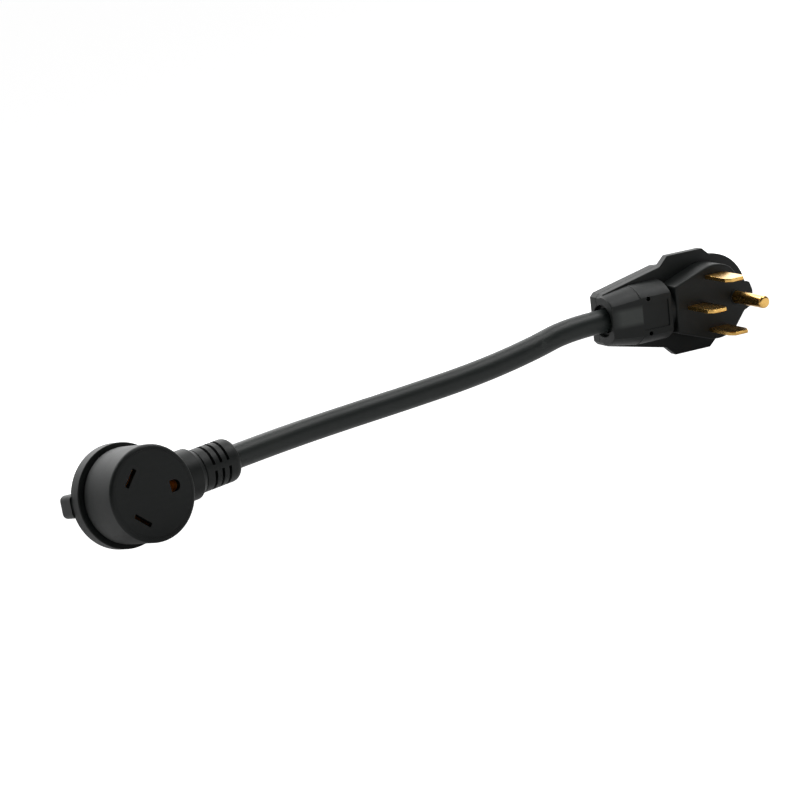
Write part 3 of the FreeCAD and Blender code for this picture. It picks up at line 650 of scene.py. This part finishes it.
# ---------------------------------------------------------------------------------------------- operators
class ADAPTERCORD_OT_stage(Operator):
    """Add the camera, the pale floor and the soft lights"""
    bl_idname = "adapter_cord.stage"
    bl_label = "Stage"

    def panel(self, name, place, target, size, power):
        """A soft light panel that faces a target."""
        data = bpy.data.lights.new(name, "AREA")
        data.shape = "RECTANGLE"
        data.size, data.size_y = size
        data.energy = power
        light = bpy.data.objects.new(name, data)
        light.location = place
        light.rotation_euler = (Vector(target) - Vector(place)).to_track_quat("-Z", "Y").to_euler()
        bpy.context.scene.collection.objects.link(light)
        return light

    def execute(self, context):
        stage = context.scene.adapter_stage
        data = bpy.data.cameras.new("camera")
        data.lens = stage.lens
        data.sensor_width = 36.0
        camera = bpy.data.objects.new("camera", data)
        camera.location = (-0.97255, -1.31852, 0.0981)
        camera.rotation_euler = Euler([math.radians(angle) for angle in (87.443, 17.532, -36.369)], "XYZ")
        context.scene.collection.objects.link(camera)
        context.scene.camera = camera

        finish = Finish("pale_floor")
        speckle = finish.noise(finish.place(), 0.35, 2.0)
        finish.shade(
            Base_Color=finish.mix(speckle, (0.80, 0.80, 0.80), (0.84, 0.84, 0.84)),
            Roughness=0.9,
            Specular_IOR_Level=0.1,
            Emission_Color=(1.0, 1.0, 1.0, 1.0),
            Emission_Strength=stage.floor_glow,
        )
        rim = curved((stage.floor_radius, stage.sweep), stage.sweep, -90, 0, 16)
        mesh = turned([(0.0, 0.0)] + rim + [(stage.floor_radius + stage.sweep, 4.0)], closed=False, steps=96)
        bmesh.ops.reverse_faces(mesh, faces=mesh.faces)
        data = bpy.data.meshes.new("floor")
        mesh.to_mesh(data)
        mesh.free()
        for polygon in data.polygons:
            polygon.use_smooth = True
        data.materials.append(finish.material)
        floor = bpy.data.objects.new("floor", data)
        floor.location.z = -0.0002
        floor.visible_glossy = False
        floor.visible_diffuse = False
        context.scene.collection.objects.link(floor)

        top = Finish("white_table")
        grain = top.noise(top.place(), 0.05, 2.0)
        top.shade(Base_Color=top.mix(grain, (0.40, 0.40, 0.40), (0.44, 0.44, 0.44)), Roughness=0.8,
                  Specular_IOR_Level=0.1, Emission_Color=(1.0, 1.0, 1.0, 1.0), Emission_Strength=stage.table_glow)
        mesh = bmesh.new()
        bmesh.ops.create_circle(mesh, cap_ends=True, segments=96, radius=stage.table_radius)
        data = bpy.data.meshes.new("table")
        mesh.to_mesh(data)
        mesh.free()
        data.materials.append(top.material)
        table = bpy.data.objects.new("table", data)
        table.location.z = -0.0001
        table.visible_camera = False
        context.scene.collection.objects.link(table)

        self.panel("overhead_panel", (-0.15, 0.55, 1.25), (0, 0, 0.02), (1.5, 0.8), stage.overhead)
        self.panel("side_panel", (-1.15, 0.55, 0.55), (-0.1, 0, 0.02), (0.5, 0.9), stage.side)
        self.panel("right_panel", (0.45, -0.35, 0.75), (0.08, 0, 0.02), (0.5, 0.4), stage.right)

        world = bpy.data.worlds.new("surroundings")
        room = Shading(world, "Background")
        heading = room.add("ShaderNodeTexCoord", output="Generated")
        behind = room.add("ShaderNodeVectorMath", {0: heading, 1: stage.backdrop_way}, operation="DOT_PRODUCT",
                          output="Value")
        glow = room.spread(behind, stage.backdrop_edge, 1.0)
        room.shade(Color=(1.0, 1.0, 1.0, 1.0), Strength=stage.ambient + glow * stage.backdrop_glow)
        context.scene.world = world
        context.scene.view_settings.view_transform = "Standard"
        return {"FINISHED"}


class ADAPTERCORD_OT_cord(Operator):
    """Add the free cord between the two heads"""
    bl_idname = "adapter_cord.cord"
    bl_label = "Cord"

    def execute(self, context):
        sizes = context.scene.adapter_cord_sizes
        curve = bpy.data.curves.new("cord", "CURVE")
        curve.dimensions = "3D"
        curve.bevel_depth = sizes.radius
        curve.bevel_resolution = 14
        curve.resolution_u = 24
        curve.use_fill_caps = True
        spline = curve.splines.new("NURBS")
        spline.points.add(len(ROUTE) - 1)
        for point, place in zip(spline.points, ROUTE):
            point.co = (*place, 1.0)
        spline.order_u = 3
        spline.use_endpoint_u = True
        cord = bpy.data.objects.new("cord", curve)
        context.scene.collection.objects.link(cord)
        near = Vector(ROUTE[-3]).lerp(Vector(ROUTE[-2]), 0.25)
        scuff = near + Vector((-0.3, -0.6, 0.55)).normalized() * sizes.radius
        curve.materials.append(cord_plastic("cord_jacket", ROUTE, tuple(finishes().jacket),
                                            tuple(finishes().rubbed), scuff, sizes.scuff_reach))
        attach(cord, BODY)
        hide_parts("cord_jacket")
        2 * sizes.radius
        return {"FINISHED"}


class ADAPTERCORD_OT_connector_drum(Operator):
    """Add the connector's drum with its neck"""
    bl_idname = "adapter_cord.connector_drum"
    bl_label = "Connector drum"

    def execute(self, context):
        s = Millimetres(context.scene.adapter_connector)
        wall_inside = s.face_radius - s.drum_wall
        front = curved((s.face_radius - s.front_round, -s.front_round), s.front_round, 90, 0, 8)
        back = curved((s.face_radius - 0.4, -s.drum_depth + 0.4), 0.4, 0, -90, 3)
        drum = turned([(wall_inside, -s.drum_depth), (wall_inside, 0.0)] + front + back)
        root = s.face_radius - 5.0
        neck = turned(
            [(s.sleeve_radius + 0.1, root), (s.neck_radius, root)]
            + curved((s.neck_radius - 0.8, s.neck_flange - 0.8), 0.8, 0, 60, 4)
            + [(s.relief_radius + 0.4, s.neck_end - 0.6), (s.relief_radius - 0.2, s.neck_end)]
            + [(s.sleeve_radius + 0.1, s.neck_end)]
        )
        along_cord(neck, -s.cord_depth)
        inside = turned([(0.0, -s.drum_depth - 5), (wall_inside, -s.drum_depth - 5), (wall_inside, 0.2), (0.0, 0.2)],
                        closed=False)
        neck = combined(neck, inside, "DIFFERENCE")
        mesh = combined(drum, neck, "UNION")
        inlet = along_cord(turned([(0.0, 0.0), (s.sleeve_radius + 0.1, 0.0), (s.sleeve_radius + 0.1, s.neck_end + 1),
                                   (0.0, s.neck_end + 1)], closed=False), -s.cord_depth)
        mesh = combined(mesh, inlet, "DIFFERENCE")
        piece("connector_drum", mesh, CONNECTOR, head_plastic("drum_plastic", CONNECTOR), "moulded_black",
              "connector_body_shell")
        return {"FINISHED"}


def slanted_slot(s, side, low, high):
    """A blade slot's outline as a slab."""
    half_long = s.slot_length / 2
    half_wide = s.slot_width / 2
    corners = [(x * half_long, y * half_wide, 0.35) for x, y in ((-1, -1), (1, -1), (1, 1), (-1, 1))]
    mesh = prism(rounded(corners, 3), low, high)
    centre = Vector((-math.cos(s.slot_angle), side * math.sin(s.slot_angle), 0)) * s.slot_place
    mesh.transform(Matrix.Translation(centre) @ Matrix.Rotation(side * math.radians(45), 4, "Z"))
    return mesh


def ground_hole(s, low, high):
    """The ground hole's outline as a slab: round towards the cord and flat towards the middle."""
    radius = s.ground_hole_half
    outline = arc(s.ground_hole_x, radius, -90, 90, 20)
    flat = s.ground_hole_x - s.ground_hole_flat
    return prism(rounded(outline + [(flat, radius, 0.3), (flat, -radius, 0.3)], 3), low, high)


class ADAPTERCORD_OT_connector_face(Operator):
    """Add the connector's face with its three openings"""
    bl_idname = "adapter_cord.connector_face"
    bl_label = "Connector face"

    def execute(self, context):
        s = Millimetres(context.scene.adapter_connector)
        radius = s.face_radius - s.drum_wall - 0.06
        edge = curved((radius - 0.15, -0.15), 0.15, 90, 0, 2)
        mesh = turned([(0.0, 0.0)] + edge + [(radius, -s.face_thick), (0.0, -s.face_thick)], closed=False)
        under = -s.face_thick - 1
        for side in (1, -1):
            mesh = combined(mesh, slanted_slot(s, side, under, 1), "DIFFERENCE")
        mesh = combined(mesh, ground_hole(s, under, 1), "DIFFERENCE")
        rims = [edge for edge in level_edges(mesh, 0.0) if edge.verts[0].co.length < radius - 1]
        hole = [edge for edge in rims if edge.verts[0].co.x > 0]
        soften(mesh, hole, s.hole_bevel, 3)
        rims = [edge for edge in level_edges(mesh, 0.0) if edge.verts[0].co.x < 0
                and edge.verts[0].co.length < radius - 1]
        soften(mesh, rims, s.slot_bevel, 2)
        piece("connector_face_disc", mesh, CONNECTOR, head_plastic("face_plastic", CONNECTOR), "moulded_black",
              "connector_face")
        return {"FINISHED"}


class ADAPTERCORD_OT_connector_cap(Operator):
    """Add the connector's rear cap with its grip bar"""
    bl_idname = "adapter_cord.connector_cap"
    bl_label = "Connector rear cap"

    def execute(self, context):
        s = Millimetres(context.scene.adapter_connector)
        rim = s.face_radius + s.rim_lip
        inner = s.face_radius - s.drum_wall
        front = -(s.drum_depth + s.groove_width)
        back = front - s.rim_thick
        edge = 1.6
        profile = (
            [(0.0, back)]
            + curved((rim - edge, back + edge), edge, -90, 0, 6)
            + curved((rim - 0.6, front - 0.6), 0.6, 0, 90, 4)
            + [(s.face_radius - s.groove_floor, front), (s.face_radius - s.groove_floor, -s.drum_depth - 0.05)]
            + [(inner - 0.05, -s.drum_depth - 0.05), (inner - 0.05, -s.drum_depth), (0.0, -s.drum_depth)]
        )
        mesh = turned(profile, closed=False)
        half = rim + s.bar_overhang
        wide = s.bar_width / 2
        corners = [(x * half, y * wide, s.bar_round) for x, y in ((-1, -1), (1, -1), (1, 1), (-1, 1))]
        bar = prism(rounded(corners, 6), back - s.bar_height, back + 1.2)
        soften(bar, level_edges(bar, back - s.bar_height), 1.8, 5)
        bar.transform(Matrix.Rotation(s.bar_turn, 4, "Z"))
        mesh = combined(mesh, bar, "UNION")
        piece("connector_rear_grip", mesh, CONNECTOR, head_plastic("cap_plastic", CONNECTOR), "moulded_black",
              "connector_rear_cap")
        return {"FINISHED"}


class ADAPTERCORD_OT_strain_relief(Operator):
    """Add the connector's slotted strain relief"""
    bl_idname = "adapter_cord.strain_relief"
    bl_label = "Strain relief"

    def slot(self, s, start, side):
        """One slot as a ring sector that stops short of the two spines."""
        outer = s.relief_radius + 1
        spine = math.asin(s.rib_spine / 2 / s.relief_radius)
        mesh = bmesh.new()
        corners = ((s.relief_radius - s.rib_deep, start), (outer, start), (outer, start + s.rib_width),
                   (s.relief_radius - s.rib_deep, start + s.rib_width))
        face = mesh.faces.new([mesh.verts.new((radius, 0, place)) for radius, place in corners])
        turn = Matrix.Rotation(spine + (math.pi if side < 0 else 0), 3, "Z")
        bmesh.ops.rotate(mesh, cent=(0, 0, 0), matrix=turn, verts=mesh.verts)
        bmesh.ops.spin(mesh, geom=[face] + list(mesh.edges) + list(mesh.verts), cent=(0, 0, 0), axis=(0, 0, 1),
                       angle=math.pi - 2 * spine, steps=40, use_duplicate=False)
        bmesh.ops.remove_doubles(mesh, verts=mesh.verts, dist=1e-4)
        bmesh.ops.recalc_face_normals(mesh, faces=mesh.faces)
        return along_cord(mesh, -s.cord_depth)

    def execute(self, context):
        s = Millimetres(context.scene.adapter_connector)
        cord = context.scene.adapter_cord_sizes.radius / MM + 0.1
        end = [
            (s.relief_mouth + (s.relief_radius - s.relief_mouth) * math.cos(angle),
             s.relief_end - s.relief_round * (1 - math.sin(angle)))
            for angle in (math.pi / 2 * step / 8 for step in range(9))
        ]
        profile = (
            [(cord, s.sleeve_start), (s.sleeve_radius, s.sleeve_start), (s.sleeve_radius, s.neck_end + 0.05)]
            + [(s.relief_radius - 0.5, s.neck_end + 0.05), (s.relief_radius, s.neck_end + 0.5)]
            + end
            + [(cord + 0.5, s.relief_end), (cord, s.relief_end - 0.5)]
        )
        mesh = along_cord(turned(profile), -s.cord_depth)
        for number in range(s.rib_count):
            for side in (1, -1):
                start = s.rib_first - s.rib_width / 2 + number * s.rib_pitch
                mesh = combined(mesh, self.slot(s, start, side), "DIFFERENCE")
        piece("connector_relief_sleeve", mesh, CONNECTOR, head_plastic("relief_plastic", CONNECTOR),
              "moulded_black", "connector_strain_relief")
        return {"FINISHED"}


def tail_half(s):
    """The upper half of the tail's outline, from its end to its waist."""
    return [
        (-s.tail_end, s.tail_half - s.tail_corner, 0.6),
        (-(s.tail_end - s.tail_corner), s.tail_half, 0.8),
        (-s.waist_x, s.waist_half, 1.5),
    ]


def plate_outline(s):
    """The grip plate: tail, ears and round end."""
    meet = s.ear_front + s.ear_slant
    angle = math.degrees(math.acos((meet - s.round_centre) / s.round_radius))
    ears = [(-s.ear_back, s.ear_half, 1.2), (s.ear_front, s.ear_half, 0.9)]
    return rounded(whole(tail_half(s) + ears + arc(s.round_centre, s.round_radius, angle, 0, 26)))


def block_outline(s):
    """The front block: flanks that taper towards the cord, a round middle and the ground pin's lobe."""
    first = math.degrees(math.acos(-s.flank_meet / s.block_radius))
    last = math.degrees(math.acos(s.lobe_meet / s.block_radius))
    lobe = [
        (s.lobe_neck_x, s.lobe_neck_y, 1.5),
        (s.lobe_side_x, s.lobe_side_y, 1.6),
        (s.lobe_end, s.lobe_end_half, 1.6),
    ]
    half = [(-s.flank_x, s.flank_y, 1.2)] + arc(0, s.block_radius, first, last, 22) + lobe
    return rounded(whole(half))


def cord_housing(s):
    """The housing over the cord, with its cone, ring seam and groove, cut to a flat front and to the plate."""
    corner = s.housing_half - 0.5
    profile = (
        [(0.0, -s.tail_end), (s.housing_mouth - 0.6, -s.tail_end), (s.housing_mouth, -s.tail_end + 0.8)]
        + [(s.housing_half - 0.25, -s.housing_cone - 0.5), (s.housing_half - 0.4, -s.housing_cone - 0.25)]
        + [(s.housing_half, -s.housing_cone)]
        + curved((corner, -s.housing_end - 0.5), 0.5, 0, 90, 4)
        + [(s.housing_half - s.groove_deep, -s.housing_end), (s.housing_half - s.groove_deep, -s.flank_x + 2.0)]
        + [(0.0, -s.flank_x + 2.0)]
    )
    mesh = along_cord(turned(profile, closed=False), -s.plate_front)
    slope = math.atan(s.mouth_drop / (s.tail_end - s.housing_cone))
    planes = (
        ((0, 0, -s.housing_front), (0, 0, 1)),
        ((-s.housing_cone, 0, -s.housing_front), (-math.sin(slope), 0, math.cos(slope))),
        ((0, 0, -s.plate_front - 1.0), (0, 0, -1)),
    )
    for place, outwards in planes:
        everything = list(mesh.verts) + list(mesh.edges) + list(mesh.faces)
        cut = bmesh.ops.bisect_plane(mesh, geom=everything, dist=1e-5, plane_co=place, plane_no=outwards,
                                     clear_outer=True)["geom_cut"]
        rim = [item for item in cut if isinstance(item, bmesh.types.BMEdge)]
        bmesh.ops.contextual_create(mesh, geom=rim)
    bmesh.ops.remove_doubles(mesh, verts=mesh.verts, dist=1e-4)
    bmesh.ops.recalc_face_normals(mesh, faces=mesh.faces)
    return mesh


def cord_mouth(s):
    """The recess round the cord's mouth, with the bore behind it."""
    cord = bpy.context.scene.adapter_cord_sizes.radius / MM + 0.1
    inner = -s.tail_end + s.collar_recess + s.collar_length
    profile = [(0.0, -s.tail_end - 2), (s.collar_radius, -s.tail_end - 2), (s.collar_radius, inner), (cord, inner),
               (cord, inner + 15), (0.0, inner + 15)]
    return along_cord(turned(profile, closed=False, steps=96), -s.plate_front)


class ADAPTERCORD_OT_plug_front(Operator):
    """Add the plug's front moulding: block, grip plate and cord housing"""
    bl_idname = "adapter_cord.plug_front"
    bl_label = "Plug front moulding"

    def execute(self, context):
        s = Millimetres(context.scene.adapter_plug)
        seam = -(s.plate_front + s.plate_thick)
        plate = prism(plate_outline(s), seam, -s.plate_front)
        soften(plate, level_edges(plate, -s.plate_front), 0.9, 4)
        soften(plate, level_edges(plate, seam), 0.25, 2)
        block = prism(block_outline(s), -s.plate_front - 1.0, 0.0)
        soften(block, level_edges(block, 0.0), s.block_round, 6)
        mesh = combined(plate, block, "UNION")
        mesh = combined(mesh, cord_housing(s), "UNION")
        corners = [(-s.panel_end, -s.panel_half), (-s.panel_start, -s.panel_half), (-s.panel_start, s.panel_half),
                   (-s.panel_end, s.panel_half)]
        panel = prism(rounded([(*corner, 1.0) for corner in corners]), -s.housing_front - s.panel_deep, 1.0)
        mesh = combined(mesh, panel, "DIFFERENCE")
        for side in (1, -1):
            bottom = -s.housing_front - s.core_hole_deep
            hole = turned([(0.0, bottom), (s.core_hole / 2, bottom), (s.core_hole / 2, 1.0), (0.0, 1.0)],
                          closed=False, steps=24)
            hole.transform(Matrix.Translation((-s.core_hole_x, side * s.core_hole_y, 0)))
            mesh = combined(mesh, hole, "DIFFERENCE")
        mesh = combined(mesh, cord_mouth(s), "DIFFERENCE")
        # A painted highlight on the housing's sloped front, from the cord's mouth to the blank panel.
        painted_sheen = (-s.tail_end * MM, -s.panel_end * MM, 0.2 * s.panel_half * MM, 0.65 * s.panel_half * MM)
        piece("plug_front_moulding", mesh, PLUG, head_plastic("plug_plastic", PLUG, painted_sheen), "moulded_black",
              "plug_front_shell")
        return {"FINISHED"}


class ADAPTERCORD_OT_plug_back(Operator):
    """Add the plug's back moulding"""
    bl_idname = "adapter_cord.plug_back"
    bl_label = "Plug back moulding"

    def execute(self, context):
        s = Millimetres(context.scene.adapter_plug)
        seam = -(s.plate_front + s.plate_thick)
        outline = rounded(whole(tail_half(s) + arc(s.round_centre, s.back_radius, 90, 0, 26)))
        mesh = prism(outline, -s.back_depth, seam)
        soften(mesh, level_edges(mesh, -s.back_depth), 1.0, 5)
        soften(mesh, level_edges(mesh, seam), 0.25, 2)
        mesh = combined(mesh, cord_mouth(s), "DIFFERENCE")
        piece("plug_back_moulding", mesh, PLUG, head_plastic("plug_back_plastic", PLUG), "moulded_black",
              "plug_back_cover")
        return {"FINISHED"}


class ADAPTERCORD_OT_plug_collar(Operator):
    """Add the collar in the plug's cord mouth"""
    bl_idname = "adapter_cord.plug_collar"
    bl_label = "Plug cord collar"

    def execute(self, context):
        s = Millimetres(context.scene.adapter_plug)
        cord = context.scene.adapter_cord_sizes.radius / MM + 0.1
        outer = s.collar_radius - 0.1
        start = -s.tail_end + s.collar_recess
        profile = (
            [(cord, start + 0.4), (cord + 0.4, start)]
            + curved((outer - 0.9, start + 0.9), 0.9, -90, 0, 5)
            + [(outer, start + s.collar_length), (cord, start + s.collar_length)]
        )
        mesh = along_cord(turned(profile), -s.plate_front)
        piece("plug_mouth_collar", mesh, PLUG, head_plastic("collar_plastic", PLUG), "moulded_black",
              "plug_cord_collar")
        return {"FINISHED"}


class ADAPTERCORD_OT_plug_pins(Operator):
    """Add the plug's three blades and its ground pin"""
    bl_idname = "adapter_cord.plug_pins"
    bl_label = "Plug pins"

    def blade(self, s):
        """A flat blade with cut tip corners, a bevelled tip and broken edges, standing up from the x axis."""
        half = s.blade_width / 2
        low = -s.pin_tail / 2
        shoulder = s.blade_reach - s.tip_drop
        outline = [(-half, low), (half, low), (half, shoulder), (half - s.tip_run, s.blade_reach),
                   (-half + s.tip_run, s.blade_reach), (-half, shoulder)]
        mesh = prism(outline, -s.blade_thick / 2, s.blade_thick / 2)
        tip = [edge for edge in mesh.edges
               if abs(edge.verts[0].co.z - edge.verts[1].co.z) < 1e-4
               and all(vert.co.y > shoulder - 1e-3 for vert in edge.verts)]
        soften(mesh, tip, 0.62, 3)
        sides = [edge for edge in mesh.edges
                 if abs(edge.verts[0].co.x - edge.verts[1].co.x) < 1e-4 and edge.calc_length() > s.blade_reach / 2]
        soften(mesh, sides, 0.35, 3)
        mesh.transform(Matrix.Rotation(math.pi / 2, 4, "X"))
        return mesh

    def execute(self, context):
        s = Millimetres(context.scene.adapter_plug)
        bright, stained_and_shaded = tuple(finishes().gilt), tuple(finishes().gilt_dull)
        places = {
            "upper_hot_blade": (0.0, s.hot_spacing / 2),
            "lower_hot_blade": (0.0, -s.hot_spacing / 2),
            "neutral_blade": (-s.neutral_offset, 0.0),
        }
        for node, (across, along) in places.items():
            mesh = self.blade(s)
            mesh.transform(Matrix.Translation((across, along, 0)))
            piece("bright_" + node, mesh, PLUG, bright_brass(node + "_brass", PLUG, bright, stained_and_shaded, (1, 1, 0.05)),
                  "brass", node)
        radius = s.ground_dia / 2
        nose = s.ground_nose
        profile = (
            [(0.0, -s.pin_tail / 2), (radius - 0.6, -s.pin_tail / 2), (radius, -1.0)]
            + curved((radius - nose, s.ground_reach - nose), nose, 0, 90, 8)
            + [(0.0, s.ground_reach)]
        )
        mesh = turned(profile, closed=False, steps=64)
        mesh.transform(Matrix.Translation((s.ground_offset, 0, 0)))
        piece("bright_ground_pin", mesh, PLUG, bright_brass("ground_pin_brass", PLUG, bright, stained_and_shaded, (1, 1, 0.05)),
              "brass", "ground_pin")
        seat = turned([(radius + 0.02, -0.5), (s.base_ring, -0.5)]
                      + curved((s.base_ring - 0.3, s.base_ring_proud - 0.3), 0.3, 0, 90, 3)
                      + [(radius + 0.3, s.base_ring_proud), (radius + 0.02, s.base_ring_proud - 0.2)], steps=64)
        seat.transform(Matrix.Translation((s.ground_offset, 0, 0)))
        piece("ground_pin_seat", seat, PLUG, head_plastic("seat_plastic", PLUG), "moulded_black")
        return {"FINISHED"}


class ADAPTERCORD_OT_inner_parts(Operator):
    """Give the parts inside the heads their finishes"""
    bl_idname = "adapter_cord.inner_parts"
    bl_label = "Inner parts"

    def execute(self, context):
        tones = finishes()
        for name, head in (("connector", CONNECTOR), ("plug", PLUG)):
            wires = {"hot": tones.black_wire, "neutral": tones.white_wire, "ground": tones.green_wire}
            strands = stranded_copper(name + "_copper", head, tuple(tones.copper))
            carrier = moulded_plastic(name + "_carrier_plastic", head, tuple(tones.carrier), tuple(tones.rubbed))
            metal = spring_metal(name + "_contact_metal", head, tuple(tones.contact))
            tail = insulation(name + "_cord_tail", head, tuple(tones.jacket))
            looks = {"_strands": strands, "_carrier": carrier, "_contact": metal, "_cord_tail": tail}
            looks.update({"_%s_wire" % wire: insulation("%s_%s_insulation" % (name, wire), head, tuple(tone))
                          for wire, tone in wires.items()})
            for node, thing in frame["nodes"].items():
                if not node.startswith(name + "_"):
                    continue
                for ending, material in looks.items():
                    if node.endswith(ending):
                        thing.data.materials.clear()
                        thing.data.materials.append(material)
        return {"FINISHED"}


OPERATORS = (
    ADAPTERCORD_OT_stage,
    ADAPTERCORD_OT_cord,
    ADAPTERCORD_OT_connector_drum,
    ADAPTERCORD_OT_connector_face,
    ADAPTERCORD_OT_connector_cap,
    ADAPTERCORD_OT_strain_relief,
    ADAPTERCORD_OT_plug_front,
    ADAPTERCORD_OT_plug_back,
    ADAPTERCORD_OT_plug_collar,
    ADAPTERCORD_OT_plug_pins,
    ADAPTERCORD_OT_inner_parts,
)
GROUPS = {
    "adapter_connector": ConnectorSizes,
    "adapter_plug": PlugSizes,
    "adapter_cord_sizes": CordSizes,
    "adapter_finishes": Finishes,
    "adapter_stage": StageSizes,
}


class ADAPTERCORD_PT_sidebar(Panel):
    """The adapter cord's operators and sizes"""
    bl_idname = "ADAPTERCORD_PT_sidebar"
    bl_label = "Adapter Cord"
    bl_space_type = "VIEW_3D"
    bl_region_type = "UI"
    bl_category = "Adapter Cord"

    def draw(self, context):
        for operator in OPERATORS:
            self.layout.operator(operator.bl_idname)
        for name, group in GROUPS.items():
            box = self.layout.box()
            settings = getattr(context.scene, name)
            for setting in group.__annotations__:
                box.prop(settings, setting)


def register():
    for group in GROUPS.values():
        bpy.utils.register_class(group)
    for name, group in GROUPS.items():
        setattr(bpy.types.Scene, name, PointerProperty(type=group))
    for operator in OPERATORS:
        bpy.utils.register_class(operator)
    bpy.utils.register_class(ADAPTERCORD_PT_sidebar)


def unregister():
    bpy.utils.unregister_class(ADAPTERCORD_PT_sidebar)
    for operator in reversed(OPERATORS):
        bpy.utils.unregister_class(operator)
    for name in GROUPS:
        delattr(bpy.types.Scene, name)
    for group in reversed(GROUPS.values()):
        bpy.utils.unregister_class(group)


def main():
    """Builds every piece."""
    register()
    for operator in OPERATORS:
        getattr(bpy.ops.adapter_cord, operator.bl_idname.split(".")[1])()


if __name__ == "__main__":
    main()
